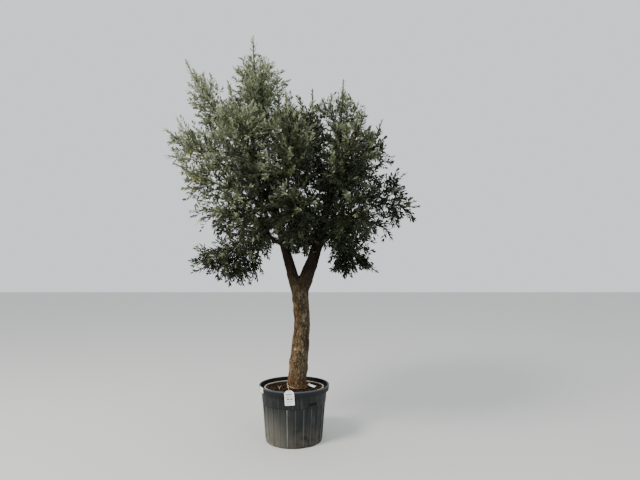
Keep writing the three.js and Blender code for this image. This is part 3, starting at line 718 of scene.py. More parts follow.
trunk_heights = np.linspace(0.444, 1.38, 41)
heights, sideways, depths, trunk_sizes = np.array(TRUNK_STATIONS).T
trunk_line = np.stack([np.interp(trunk_heights, heights, row) for row in (sideways, depths, heights)], axis=1)
trunk_radii = np.interp(trunk_heights, heights, trunk_sizes)
line = np.concatenate([trunk_line, *[limb.samples for limb in limbs.values()]])
line_radii = np.concatenate([trunk_radii, *[limb.sample_radii for limb in limbs.values()]])

places, normals = vertex_rows(bark, "co"), vertex_rows(bark, "normal")
girth = np.zeros(len(places))  # the radius of the limb that each vertex is on
for start in range(0, len(places), 4000):
    block = places[start : start + 4000]
    gaps = np.linalg.norm(block[:, None] - line[None], axis=2) - line_radii[None]
    girth[start : start + 4000] = line_radii[gaps.argmin(axis=1)]


def furrow_depth(place):
    """How deep the wide and the fine furrows are, from 0 to 1, and how the ridges swell between them."""
    x, y, z = place
    wander = noise.noise(Vector((x * 12, y * 12, z * 9))) * 0.8
    wide = noise.noise(Vector((x * 50 + wander, y * 50, z * 14)))
    fine = noise.noise(Vector((x * 105, y * 105 + wander, z * 34)))
    return max(0, 1 - abs(wide) * 4.6) ** 1.5, max(0, 1 - abs(fine) * 3.6), wide


# How far each vertex lies in a furrow, for the painted shade in the furrows.
furrows = np.zeros(len(places))
for i, (place, normal, radius) in enumerate(zip(places, normals, girth)):
    age = min(1, max(0, (radius - YOUNG_RADIUS) / (OLD_RADIUS - YOUNG_RADIUS)))
    wide, fine, swell = furrow_depth(place)
    grain = noise.noise(Vector(place * 210))
    lift = noise.noise(Vector(place * 11)) * BULGE * age + grain * GRAIN
    lift += (RIDGE_HEIGHTS[0] + RIDGE_HEIGHTS[1] * age) * (swell - wide * 0.9)
    lift -= (SPLIT_DEPTHS[0] + SPLIT_DEPTHS[1] * age) * fine
    for centre, reach, height in BURRS:
        distance = math.dist(place, centre)
        if distance < reach * 2.5:
            lift += height * math.exp(-((distance / reach) ** 2))
    flare = math.exp(-max(0, place[2] - FLARE_FOOT) / FLARE_HEIGHT)
    turn = math.atan2(place[1] - TRUNK_FOOT[1], place[0] - TRUNK_FOOT[0])
    lift += flare * (FLARE_SWELL + FLARE_RIDGE * math.cos(turn * FLARE_RIDGES + 0.7))
    places[i] = place + normal * lift
    furrows[i] = min(1, age * wide * 0.8 + 0.6 * fine)
bark.data.vertices.foreach_set("co", places.ravel())
cut = np.exp(-((np.linalg.norm(places - BURRS[0][0], axis=1) / CUT_RADIUS) ** 4))
for name, shares in (("furrow", furrows), ("cut", cut), ("shady_side", normals[:, 0] * 0.5 + 0.5)):
    keep_shares(bark, name, shares)
bark.data.update()
smooth(bark, 180)


def furrowed_bark():
    """Mottled bark, ruddy at the foot, with painted light and shade: lighter orange-brown on the lit side,
    darker, greyer and greener on the other, and painted shade in the furrows and up under the crown.
    """
    paint = Paint("furrowed_bark", 0.9, 0.15)
    patches = paint.clouds((16, 16, 9), detail=5.0)
    # Painted light and shade: lighter, more orange tones on the side that faces the light, darker, greyer and
    # greener ones on the other.
    sunny = (0.034, 0.018, 0.008), (0.122, 0.073, 0.034), (0.300, 0.210, 0.115)
    shaded = (0.013, 0.009, 0.005), (0.050, 0.040, 0.022), (0.135, 0.112, 0.070)
    tones = [paint.ramp(patches, *zip((0.30, 0.5, 0.70), side)) for side in (sunny, shaded)]
    ridges = paint.mix(paint.ramp(paint.attribute("shady_side"), (0.20, 0), (0.58, 1)), *tones)
    flecks = paint.ramp(paint.clouds((95, 95, 42), detail=5.0), (0.52, 0), (0.70, 0.75))
    flecked = paint.mix(flecks, ridges, (0.31, 0.235, 0.140))
    ruddy = paint.product(paint.between("Z", 0.62, 0.46), patches, 0.8)
    warm = paint.mix(ruddy, flecked, (0.150, 0.055, 0.020))
    pits = paint.ramp(paint.clouds((120, 120, 48)), (0.30, 0.9), (0.44, 0))
    pitted = paint.mix(pits, warm, (0.016, 0.010, 0.006))
    # Painted shade: the furrows are painted darker.
    furrow_shade_share = paint.ramp(paint.attribute("furrow"), (0.15, 0), (0.85, 0.85))
    split = paint.mix(furrow_shade_share, pitted, (0.018, 0.011, 0.006))
    # Painted shade: the upper trunk and the boughs, under the crown, are painted darker.
    crown_shade = paint.product(paint.between("Z", 1.20, 1.52), 0.92)
    crown_shaded = paint.mix(crown_shade, split, (0.008, 0.005, 0.003))
    paint.bump(paint.clouds((260, 260, 100), detail=5.0), 0.7, 0.002)
    return paint.finish(paint.mix(paint.attribute("cut"), crown_shaded, (0.44, 0.32, 0.19)))


bark.data.materials.append(furrowed_bark())
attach(bark, "root")
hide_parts("trunk", *limbs)


# The twigs: each mass has one stem that grows on from its bough's tip to the mass's own tip. Twigs stand
# round it in a spiral, shoots stand on those, and all of them bend up in the top of the crown and hang
# in its skirts. The rule and its seeds are the ones that grow the solids' twigs, carried on to shoots.

TWIG_SPACING = 0.108
TWIG_THICKNESS = 0.48
TWIG_STEP = 0.030
TWIG_SHORTEST = 0.080
TWIG_FIRST, TWIG_RANGE = 0.05, 0.87  # the share of the stem at the first, and from it to the last
TWIG_ANGLES = (1.45, 0.6)  # from the stem, at its foot and at its tip
TWIG_ROOM = 0.050
STEM_TIP_RADIUS = 0.005
STEM_BOW = 0.05
SPRAY_LENGTH = 0.300
SPRAY_WIDTH = 0.106
SPRAY_WIDEST = 0.38
SPRAY_STATION = 0.165
SPRAY_CLEAR = 0.002
SPRAY_TRIES = [(size, turn) for size in (1.1, 0.85, 0.6) for turn in (0, 0.8, -0.8)]
SPACE_MARGIN = 0.003
START_GAP = 0.0003
FLAME = (0.45, 0.64, 2.15, 1)  # the shape of a mass: how it opens, how it closes, its fullness and reach
GOLDEN_ANGLE = math.pi * (3 - math.sqrt(5))
UP = np.array([0, 0, 1.0])


def seeded(seed):
    """A row of numbers from 0 to 1, the same on every run."""
    state = seed
    while True:
        state = state * 48271 % 2147483647
        yield state / 2147483647


class Space:
    """The room that a mass may fill: a flame round its axis, walled off from each other mass."""

    def __init__(self, foot, tip, spread):
        foot, tip = np.array(foot), np.array(tip)
        self.centre = (foot + tip) / 2
        self.half = np.linalg.norm(tip - foot) / 2
        self.axis = unit(tip - foot)
        self.spread = spread
        self.walls = []

    def reach(self, direction):
        along = float(self.axis @ direction)
        return math.hypot(self.half * along, self.spread * math.sqrt(max(0, 1 - along**2)))

    def wall_off(self, other):
        way = other.centre - self.centre
        distance = np.linalg.norm(way)
        way = way / distance
        share = self.reach(way) / (self.reach(way) + other.reach(way))
        self.walls.append((way, way @ self.centre + distance * share))

    def within_flame(self, points, margin, flame=FLAME):
        foot, tip, fullness, reach = flame
        outward = points - self.centre
        share = (outward @ self.axis / self.half + 1) / 2 / reach
        inside = (share >= 0) & (share <= 1)
        share = share.clip(1e-6, 1 - 1e-6)
        width = self.spread * fullness * share**foot * (1 - share) ** tip
        return inside & (np.linalg.norm(np.cross(outward, self.axis), axis=-1) <= width - margin)

    def holds(self, points, margin):
        inside = self.within_flame(points, margin)
        for way, offset in self.walls:
            inside &= points @ way <= offset - margin
        return bool(inside.all())


spaces = {name: Space(foot, tip, spread) for name, (_, _, foot, tip, spread, _) in MASSES.items()}
for own in spaces.values():
    for other in spaces.values():
        if other is not own:
            own.wall_off(other)


def clear_of(obstacles, points, clearances):
    """Whether points keep their clearance from samples of wood or leaf, given as (places, radii)."""
    places, radii = obstacles
    gaps = np.linalg.norm(points[:, None] - places[None], axis=2) - radii[None]
    return bool((gaps > np.asarray(clearances)[:, None]).all())


def together(groups):
    return np.concatenate([places for places, _ in groups]), np.concatenate([radii for _, radii in groups])


def cross_axes(direction):
    side = np.cross(direction, UP)
    side = np.array([1.0, 0, 0]) if np.linalg.norm(side) < 0.05 else unit(side)
    return side, unit(np.cross(side, direction))


def splayed(direction, turn, angle):
    side, over = cross_axes(direction)
    around = side * math.cos(turn) + over * math.sin(turn)
    return unit(direction * math.cos(angle) + around * math.sin(angle))


def stem_of(name):
    _, _, foot, tip, _, _ = MASSES[name]
    along = carriers[name].tangent(1)
    start = np.array(foot) + along * START_GAP
    length = np.linalg.norm(np.array(tip) - start)
    axis = unit(np.array(tip) - start)
    end = np.array(tip) - axis * SPACE_MARGIN * 2
    bow = cross_axes(axis)[1] * -length * STEM_BOW
    controls = [start, start + along * length / 3, end - axis * length / 3 + bow, end]
    return Limb(controls, (float(carriers[name].radius(1)), STEM_TIP_RADIUS))


class Twig:
    """A straight twig that narrows to a point."""

    def __init__(self, root, direction, length, radius):
        self.root, self.direction, self.length, self.base = root, direction, length, radius
        shares = np.linspace(0, 1, 41)
        self.samples = self.point(shares)
        self.sample_radii = radius * (1 - shares)

    def point(self, share):
        return self.root + self.direction * (self.length * np.asarray(share, float)[..., None])

    def tangent(self, share):
        return self.direction


def twigs_on(name, stem, obstacles, random):
    _, _, _, _, spread, lift = MASSES[name]
    twigs = []
    count = int(stem.length / TWIG_SPACING + 0.5)
    for i in range(count):
        share = TWIG_FIRST + TWIG_RANGE * (i + next(random) * 0.5) / count
        turn = GOLDEN_ANGLE * i + next(random)
        angle = TWIG_ANGLES[0] + (TWIG_ANGLES[1] - TWIG_ANGLES[0]) * share
        direction = splayed(stem.tangent(share), turn, angle)
        direction = unit(direction + UP * lift)
        root = stem.point(share)
        length = 0
        while length < spread * 1.4:
            ahead = root[None] + direction * (length + TWIG_STEP)
            roomy = spaces[name].holds(ahead, TWIG_ROOM) and clear_of(obstacles, ahead, [SIDE_BOUGH_RADII[1]])
            if not roomy:
                break
            length += TWIG_STEP
        if length >= TWIG_SHORTEST:
            twigs.append(Twig(root, direction, length, float(stem.radius(share)) * TWIG_THICKNESS))
    return twigs


def spray_samples(root, direction, across, size):
    """Points down the middle of a spray and at its two corners, with the room that each needs."""
    shares = np.array([0.25, 0.4, 0.55, 0.7, 0.85, 1])
    middle = root + direction * size * shares[:, None]
    corners = root + direction * size * SPRAY_WIDEST + across * SPRAY_WIDTH * np.array([[0.5], [-0.5]])
    rooms = SPRAY_WIDTH * np.minimum(shares, 1 - shares) * 0.8
    return np.concatenate([middle, corners]), np.concatenate([rooms, [0, 0]])


def sprays_on(name, twig, obstacles, random):
    """Crossed pairs along a twig and one at its end, as (root, direction, across, size)."""
    sprays, taken = [], []

    def offer(share, turn, angle):
        scale = 0.85 + 0.3 * next(random)
        roll = (next(random) - 0.5) * 2
        for size, more in SPRAY_TRIES:
            direction = splayed(twig.tangent(share), turn + more, angle)
            side, over = cross_axes(direction)
            across = side * math.cos(roll) + over * math.sin(roll)
            spray = (twig.point(share), direction, across, size * scale * SPRAY_LENGTH)
            points, rooms = spray_samples(*spray)
            if not spaces[name].holds(points, SPACE_MARGIN + rooms + SPRAY_CLEAR):
                continue
            if clear_of(together([obstacles, *taken]), points, rooms + SPRAY_CLEAR):
                sprays.append(spray)
                taken.append((points, rooms))
                return

    pairs = max(1, int(twig.length / SPRAY_STATION + 0.5))
    for i in range(pairs):
        first = i * 1.3 + next(random)
        for turn in (first, first + math.pi):
            offer(0.64 * (i + 0.8) / pairs, turn, 0.8)
    offer(0.5, 0, 0)
    return sprays, taken


stems = {name: stem_of(name) for name in MASSES}
wood = {name: [] for name in MASSES}  # rows of (points, radii), for the meshes of the twigs
shoots = {name: [] for name in MASSES}  # (root, direction, across, length) of each spray
twigs_of = {}

for index, (name, stem) in enumerate(stems.items()):
    random = seeded(101 + index * 37)
    others = [*limbs.values(), *[stems[other] for other in MASSES if other != name]]
    fixed = [(trunk_line, trunk_radii)] + [(limb.samples, limb.sample_radii) for limb in others]
    twigs = twigs_on(name, stem, together(fixed), random)
    leaves = []
    for twig in [*twigs, stem]:
        near = [(other.samples, other.sample_radii) for other in [*twigs, stem] if other is not twig]
        grown, taken = sprays_on(name, twig, together([*fixed, *near, *leaves]), random)
        leaves += taken
        shoots[name] += grown
    shares = np.linspace(0, 1, 9)
    wood[name].append((stem.point(shares), stem.radius(shares)))
    twigs_of[name] = twigs
    for twig in twigs:
        ends = np.linspace(0, 1, 3)
        wood[name].append((twig.point(ends), twig.base * (1 - ends * 0.72)))

# Each spray of the solids opens here into a leafy shoot with shorter ones to its sides, and more short
# shoots stand along the twigs and the stem between them.

SIDE_SHOOTS = [(0.16, 0.62), (0.34, 0.58), (0.52, 0.48)]  # where one leaves, and its share of the length
FILL_SPACING = 0.034
FILL_LENGTH = (0.10, 0.21)
SHOOT_RADII = 0.0020 * np.array([1, 0.7, 0.3])  # at its three points
LEAFY_FLAME = (0.45, 0.70, 2.20, 0.88)  # the shoots stop short of the tip, and only the leaders go on to it
SHOOT_MARGIN = -0.008  # how far inside that flame a shoot ends
LEADER_MARGIN = -0.050
LEAF_MARGIN = -0.052
LEADERS = 7  # slender shoots that stand out round the tip of each mass
LEADER_LENGTH = (0.15, 0.28)
INNER_SPACING = 0.034
INNER_LENGTH = (0.09, 0.19)
LOW_SHARE = 0.46  # below this the main boughs bear shoots only between them, hanging in the fork
FORK_MIDDLE = 0.06

rng = np.random.default_rng(41)


def bent_shoot(root, direction, length, lift):
    """Three points of a shoot that turns up, or hangs, as it grows."""
    middle = root + direction * length * 0.5
    tip = middle + unit(direction + UP * lift * 0.7) * length * 0.5
    return np.array([root, middle, tip])


def fitting_shoot(name, root, direction, length, margin=SHOOT_MARGIN):
    """The longest of three shoots that ends within the mass's flame, or none."""
    for share in (1, 0.7, 0.45):
        points = bent_shoot(root, direction, length * share, MASSES[name][5])
        if spaces[name].within_flame(points[2:], margin, LEAFY_FLAME).all():
            return points
    return None


leafy = {name: [] for name in MASSES}  # the three points of each shoot that bears leaves
for name, stem in stems.items():
    grown = []
    for root, direction, across, length in shoots[name]:
        main = fitting_shoot(name, root, direction, length)
        if main is None:
            continue
        grown.append(main)
        over = np.cross(across, direction)
        for i, (share, size) in enumerate(SIDE_SHOOTS):
            turn = (i % 2) * math.pi + rng.uniform(-0.9, 0.9)
            way = across * math.cos(turn) + over * math.sin(turn)
            angle = rng.uniform(0.55, 0.95)
            outward = unit(direction * math.cos(angle) + way * math.sin(angle))
            start = root + direction * length * share
            grown.append(fitting_shoot(name, start, outward, length * size * rng.uniform(0.8, 1.15)))
    bearers = [(stem, 0.22, 1.0)] + [(twig, 0.12, 1.0) for twig in twigs_of[name]]
    for bearer, first, last in bearers:
        count = int(bearer.length * (last - first) / FILL_SPACING)
        for i in range(count):
            share = first + (last - first) * (i + rng.random()) / count
            angle = rng.uniform(0.5, 1.0)
            direction = splayed(bearer.tangent(share), GOLDEN_ANGLE * i + rng.random(), angle)
            direction = unit(direction + UP * MASSES[name][5] * 0.6)
            grown.append(fitting_shoot(name, bearer.point(share), direction, rng.uniform(*FILL_LENGTH)))
    for i in range(LEADERS):
        share = rng.uniform(0.50, 0.84)
        direction = splayed(stem.tangent(share), GOLDEN_ANGLE * i + rng.random(), rng.uniform(0.15, 0.55))
        length = rng.uniform(*LEADER_LENGTH)
        grown.append(fitting_shoot(name, stem.point(share), direction, length, LEADER_MARGIN))
    leafy[name] = [points for points in grown if points is not None]
    for points in leafy[name]:
        wood[name].append((points, SHOOT_RADII))
    ends = np.linspace(0.82, 1, 3)  # the leader of the mass is itself a leafy shoot
    leafy[name].append(stem.point(ends))

# Inside the crown the limbs themselves bear short leafy shoots.
leafy["heart"] = []
wood["heart"] = []
for name, limb in limbs.items():
    first = 0.28 if name in MAIN_BOUGHS else 0.25
    count = int(limb.length * (1 - first) / INNER_SPACING) * (2 if name in MAIN_BOUGHS else 1)
    for i in range(count):
        share = first + (1 - first) * (i + rng.random()) / count
        direction = splayed(limb.tangent(share), GOLDEN_ANGLE * i + rng.random(), rng.uniform(0.6, 1.2))
        root = limb.point(share)
        low = name in MAIN_BOUGHS and share < LOW_SHARE
        if low and (direction[0] > 0) == (root[0] > FORK_MIDDLE):  # the crown is open under its sides
            direction = direction * [-1, 1, 1]
        points = bent_shoot(root, direction, rng.uniform(*INNER_LENGTH), -1.6 if low else 0.4)
        leafy["heart"].append(points)
        wood["heart"].append((points, SHOOT_RADII))

# Stray shoots stand out from the masses where the photo shows them: for each, its share of the mass's
# stem and its tip.
STRAYS = [
    ("left_far", (0.55, -1.088, -0.02, 2.907), (0.4, -1, 0.02, 2.85), (0.85, -1.13, -0.1, 2.66)),
    ("left_middle", (0.5, -0.923, -0.2, 2.196), (0.45, -0.977, -0.1, 2.15), (0.8, -1.06, -0.25, 2.58)),
    ("left_low", (0.7, -0.96, 0.02, 2.05), (0.6, -0.923, 0.06, 1.94), (0.5, -0.74, 0, 1.86)),
    ("left_skirt", (0.6, -0.886, -0.1, 1.7)),
    ("left_high", (0.3, -0.9, 0.08, 2.96)),
    ("top", (0.5, -0.505, 0, 3.27), (0.42, -0.56, -0.06, 3.16), (0.45, -0.11, 0.02, 3.26)),
    ("middle_top", (0.6, 0.325, 0, 3.03), (0.45, 0.3, 0, 2.88), (0.55, 0.02, 0.02, 3.13)),
    ("right_top", (0.35, 0.66, 0, 2.9), (0.5, 0.62, 0, 3.03)),
    (
        "right_far", (0.3, 0.8, 0, 2.37), (0.35, 0.74, 0.04, 2.33), (0.5, 0.95, 0, 2.43),
        (0.8, 1.075, 0, 2.16), (0.75, 1.09, 0, 1.985), (0.55, 0.95, 0, 1.92),
    ),
    ("right_low", (0.8, 0.88, 0, 1.81)),
    ("top", (0.62, -0.505, 0, 3.49), (0.52, -0.575, 0.03, 3.41), (0.62, -0.12, 0, 3.37)),
    ("middle_top", (0, -0.02, 0, 2.38), (0, 0.18, 0, 2.39), (0.02, 0.08, -0.07, 2.31)),
    ("front_top", (0.08, 0.09, -0.22, 2.34), (0.05, 0.03, -0.15, 2.28)),
    ("front_right", (0.05, 0.21, -0.25, 2.37), (0.02, 0.18, -0.2, 2.29)),
    ("right_low", (0.05, 0.4, -0.05, 2.14)),
    ("right_far", (0.05, 0.41, -0.08, 2.08)),
    ("front_low_right", (0.05, 0.42, -0.21, 2.12)),
    ("left_low", (0.05, -0.32, 0, 2.1)),
    ("front_low_left", (0.05, -0.3, -0.2, 2.08)),
    ("front_low", (0, 0.02, -0.12, 1.68), (0.02, 0.095, -0.14, 1.65)),
    ("back_low", (0, 0.03, 0.06, 1.69)),
    ("right_skirt", (0.2, 0.36, -0.12, 1.52), (0.34, 0.45, -0.15, 1.46)),
    (
        "left_skirt", (0.7, -0.905, -0.14, 1.59), (0.45, -0.64, -0.12, 1.42), (0.3, -0.574, -0.1, 1.385),
        (0.35, -0.526, -0.14, 1.457), (0.22, -0.462, -0.08, 1.393), (0.25, -0.44, -0.02, 1.56),
        (0.12, -0.383, -0.12, 1.497), (0.1, -0.334, -0.06, 1.43), (0.02, -0.302, -0.1, 1.59),
        (0.02, -0.275, -0.04, 1.66),
    ),
]
for name, share, *tip in [(name, *row) for name, *rows in STRAYS for row in rows]:
    root = stems[name].point(share)
    tip = np.array(tip)
    reach = np.linalg.norm(tip - root)
    bend = (root + tip) / 2 + unit(stems[name].tangent(share)) * reach * 0.10
    points = np.array([root, bend, tip])
    strays = [points]
    for i, (start, size) in enumerate(SIDE_SHOOTS):
        direction = splayed(unit(tip - root), GOLDEN_ANGLE * i + rng.random(), rng.uniform(0.4, 0.8))
        strays.append(bent_shoot(root + (tip - root) * start, direction, reach * size, MASSES[name][5]))
    side = name.split("_")[0]
    group = f"{side}_strays" if side in ("left", "right") else "heart"
    leafy.setdefault(group, []).extend(strays)
    wood["heart"] += [(shoot, SHOOT_RADII) for shoot in strays]


STOUT, SLENDER = 0.009, 0.0025  # the radii above which a tube has seven sides, and five


def tubes(name, rows):
    """One mesh of many tapering tubes, each given by its points and radii."""
    corners, faces, offset = [], [], 0
    for points, radii in rows:
        sides = 7 if radii[0] > STOUT else 5 if radii[0] > SLENDER else 3
        tangents = unit(np.gradient(points, axis=0))
        side = cross_axes(tangents[0])[0]
        across = []
        for tangent in tangents:  # carried along the curve without a twist
            side = unit(side - tangent * (side @ tangent))
            across.append(side)
        across = np.array(across)[:, None]
        over = np.cross(tangents, across[:, 0])[:, None]
        turns = (np.arange(sides) * 2 * math.pi / sides)[None, :, None]
        circles = np.cos(turns) * across + np.sin(turns) * over
        corners.append((points[:, None] + circles * np.asarray(radii)[:, None, None]).reshape(-1, 3))
        for row in range(len(points) - 1):
            low = offset + row * sides
            for k in range(sides):
                faces.append((low + k, low + (k + 1) % sides, low + sides + (k + 1) % sides, low + sides + k))
        faces.append(tuple(range(offset + sides - 1, offset - 1, -1)))
        offset += len(points) * sides
        faces.append(tuple(range(offset - sides, offset)))
    return made_of(name, np.concatenate(corners), faces)


twigs = tubes("twigs", [row for rows in wood.values() for row in rows])
twig_tones = (0.35, (0.045, 0.036, 0.025)), (0.65, (0.110, 0.098, 0.072))
twigs.data.materials.append(mottled("twig_bark", 0.8, 0.2, (6, 6, 6), *twig_tones))
smooth(twigs, 70)
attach(twigs, "root")
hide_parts(*[f"foliage_{name}" for name in MASSES])


# The fallen twig: small, forked and bleached by the sun. It lies on the potting mix in front of the
# trunk, on the left, with both its tips propped up.

FALLEN_BASE = np.array([-0.122, -0.108, 0.4660])
FALLEN_FORK = np.array([-0.126, -0.090, 0.4700])
FALLEN_TIPS = np.array([(-0.144, -0.062, 0.4840), (-0.110, -0.058, 0.4860)])
FALLEN_RADII = np.array([0.0026, 0.0024])
PRONG_RADII = np.array([0.0022, 0.0018, 0.0010])
fallen = [(np.array([FALLEN_BASE, FALLEN_FORK]), FALLEN_RADII)]
for tip in FALLEN_TIPS:
    bend = (FALLEN_FORK + tip) / 2 + [0, 0, 0.003]
    fallen.append((np.array([FALLEN_FORK, bend, tip]), PRONG_RADII))
fallen_twig = tubes("fallen_twig", fallen)
fallen_twig.data.materials.append(plain("bleached_twig", (0.42, 0.33, 0.19), 0.85))
smooth(fallen_twig, 70)
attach(fallen_twig, "root")
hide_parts("soil")


# The leaves: narrow, leathery and evergreen, in crossed pairs, dark green above and silvery beneath.
# A leaf is drawn once, as an outline of six points with a keel above, and dealt out along the shoots.
# Painted shade makes the leaves darker deep in the crown, low down and on the right, and painted light paler
# high, far out and on the left; new ones at the sunny tips are yellower, and a few have dried brown.

LEAF_PLACES = np.array(  # across, along and up, for a leaf one unit wide and long
    [
        (0, 0, 0), (0.42, 0.26, -0.006), (0.46, 0.60, -0.012), (0, 1, -0.050),
        (-0.46, 0.60, -0.012), (-0.42, 0.26, -0.006), (0, 0.44, 0.030),
    ]
)
LEAF_FACES = np.array(  # the upper side about its keel, and then the underside
    [
        (0, 1, 6), (1, 2, 6), (2, 3, 6), (3, 4, 6), (4, 5, 6), (5, 0, 6),
        (0, 5, 4), (0, 4, 3), (0, 3, 2), (0, 2, 1),
    ]
)
UPPER_FACES = 6
LEAF_LENGTH = (0.045, 0.064)
LEAF_WIDTH = (0.0130, 0.0175)
LEAF_STATION = 0.0165
LEAF_ANGLE = (0.78, 0.16)  # from the shoot, and its scatter
# The first four greens and their undersides step from painted shade to painted light.
TONES = [
    ("leaf_deep", (0.010, 0.014, 0.005), 0.42, 0.2),
    ("leaf_green", (0.028, 0.036, 0.013), 0.42, 0.3),
    ("leaf_olive", (0.070, 0.087, 0.030), 0.44, 0.45),
    ("leaf_grey", (0.140, 0.167, 0.075), 0.48, 0.5),
    ("leaf_new", (0.19, 0.19, 0.062), 0.45, 0.4),
    ("leaf_dry", (0.098, 0.062, 0.032), 0.7, 0.2),
    ("underside_deep", (0.019, 0.023, 0.013), 0.75, 0.1),
    ("underside_dull", (0.080, 0.091, 0.055), 0.75, 0.15),
    ("underside_grey", (0.192, 0.217, 0.136), 0.72, 0.2),
    ("underside_pale", (0.370, 0.400, 0.275), 0.7, 0.2),
]
NEW, DRY = 4, 5
UNDERSIDES = np.array([6, 7, 8, 9, 8, 7])  # for each tone of the upper side
CROWN_HEART = np.array([0, 0, 2.35])
CROWN_REACH = np.array([1.15, 0.95, 1.25])
TONE_STEPS = (0.55, 1.05, 1.60)  # the light at which one green gives way to the next
NEW_GROWTH = np.array([-0.84, -0.15, 2.32])
NEW_REACH, NEW_SHARE, DRY_SHARE = 0.28, 0.6, 0.004
AIRY = np.array(  # sideways place, height, reach and share of the leaves that are missing there
    [
        (0.52, 3.10, 0.42, 0.50),
        (0.38, 3.08, 0.16, 0.65),
        (0.88, 2.72, 0.34, 0.40),
        (0.98, 1.98, 0.30, 0.30),
        (0.70, 1.80, 0.18, 0.55),
        (-1.00, 2.62, 0.34, 0.34),
        (-0.70, 2.07, 0.30, 0.50),
        (-0.22, 1.70, 0.10, 0.80),
        (-0.74, 1.41, 0.16, 0.75),
        (-0.60, 1.88, 0.28, 0.48),
        (-0.32, 3.46, 0.20, 0.50),
        (-0.05, 3.30, 0.34, 0.26),
        (-0.80, 3.12, 0.22, 0.50),
    ]
)


def tone_of(shoot):
    """Which green a shoot's leaves take, by how far out, how high and how far to the left it stands: painted
    light and shade.
    """
    place = shoot[2]
    out = np.linalg.norm((place - CROWN_HEART) / CROWN_REACH)
    light = 1.2 * out + 1.05 * (place[2] - 2.4) - 0.52 * place[0] + rng.normal(0, 0.45)
    if np.linalg.norm(place - NEW_GROWTH) < NEW_REACH and rng.random() < NEW_SHARE:
        return NEW
    if rng.random() < DRY_SHARE:
        return DRY
    return int(np.digitize(light, TONE_STEPS))


def thinness(points):
    """The share of the leaves that are missing at each point, where the sky shows through the crown."""
    gaps = np.linalg.norm(points[:, None, [0, 2]] - AIRY[None, :, :2], axis=2) / AIRY[:, 2]
    return (AIRY[:, 3] * np.clip(1.6 - 1.2 * gaps, 0, 1)).max(axis=1)


def leaves_along(shoot):
    """Pairs of leaves up a shoot, each pair crossing the last, as (root, direction, face) rows."""
    length = np.linalg.norm(shoot[2] - shoot[0])
    count = max(3, int(length / LEAF_STATION))
    shares = (np.arange(count) + 0.75) / count
    along = unit(shoot[2] - shoot[0])
    rows = np.where(
        shares[:, None] < 0.5,
        shoot[0] + (shoot[1] - shoot[0]) * shares[:, None] * 2,
        shoot[1] + (shoot[2] - shoot[1]) * (shares[:, None] * 2 - 1),
    )
    roots = np.concatenate([rows, rows, shoot[2:]])
    side, over = cross_axes(along)
    turns = rng.random() * math.pi + np.arange(count) * math.pi / 2 + rng.normal(0, 0.25, count)
    turns = np.concatenate([turns, turns + math.pi, [0]])
    angles = np.concatenate([rng.normal(*LEAF_ANGLE, 2 * count) * np.tile(1.12 - 0.4 * shares, 2), [0.1]])
    around = np.cos(turns)[:, None] * side + np.sin(turns)[:, None] * over
    directions = unit(along * np.cos(angles)[:, None] + around * np.sin(angles)[:, None])
    faces = along * 0.75 + UP * 0.55 + rng.normal(0, 0.38, directions.shape)
    faces = unit(faces - directions * (faces * directions).sum(axis=1, keepdims=True))
    return roots, directions, faces


def leaf_mesh(name, masses):
    """All the leaves of some masses, in one mesh with a material for each tone."""
    corners, tones = [], []
    for mass in masses:
        for shoot in leafy[mass]:
            roots, directions, faces = leaves_along(shoot)
            sizes = rng.uniform(*LEAF_LENGTH, len(roots))
            widths = rng.uniform(*LEAF_WIDTH, len(roots))
            young = np.concatenate([np.tile(np.linspace(1.05, 0.72, (len(roots) - 1) // 2), 2), [0.7]])
            sizes *= young
            inside = np.ones(len(roots), bool)
            if mass in spaces:
                tips = roots + directions * sizes[:, None]
                inside = spaces[mass].within_flame(tips, LEAF_MARGIN, LEAFY_FLAME)
                inside |= np.linalg.norm(shoot[2] - stems[mass].point(1)) < 0.3
            inside &= rng.random(len(roots)) >= thinness(roots)
            across = np.cross(directions, faces)
            bent = LEAF_PLACES[None, :, 2] * rng.uniform(0.4, 1.9, (len(roots), 1)) * sizes[:, None]
            shape = (
                roots[:, None]
                + across[:, None] * (LEAF_PLACES[None, :, :1] * widths[:, None, None])
                + directions[:, None] * (LEAF_PLACES[None, :, 1:2] * sizes[:, None, None])
                + faces[:, None] * bent[..., None]
            )
            corners.append(shape[inside])
            tone = np.full(inside.sum(), tone_of(shoot))
            if tone.size and tone[0] < NEW:
                strays = rng.integers(-1, 2, tone.size) * (rng.random(tone.size) < 0.4)
                tone = np.clip(tone + strays, 0, NEW - 1)
            tones.append(tone)
    corners = np.concatenate(corners)
    tones = np.concatenate(tones)
    faces = (LEAF_FACES[None] + len(LEAF_PLACES) * np.arange(len(corners))[:, None, None]).reshape(-1, 3)
    upper = np.repeat(tones[:, None], UPPER_FACES, axis=1)
    lower = np.repeat(UNDERSIDES[tones][:, None], len(LEAF_FACES) - UPPER_FACES, axis=1)
    shades = np.concatenate([upper, lower], axis=1).ravel()
    return made_of(name, corners.reshape(-1, 3), faces.tolist(), leaf_paints, shades)


leaf_paints = [plain(*tone) for tone in TONES]
QUARTERS = {
    "left": [name for name in leafy if name.startswith("left")],
    "right": [name for name in leafy if name.startswith("right")],
    "front": [name for name in MASSES if name.startswith("front")],
    "back": [name for name in MASSES if name.startswith("back")],
    "middle": ["top", "middle_top", "heart"],
}
for quarter, masses in QUARTERS.items():
    piece = leaf_mesh(f"leaves_{quarter}", masses)
    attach(piece, "root")
    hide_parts(*[f"foliage_{name}" for name in masses if name in MASSES])


# The labels: a hang tag of stiff white card with cut shoulders, and two plain white strips, one stuck on
# the rim and one fallen on the potting mix. The tag's grey bars stand for print and say nothing.

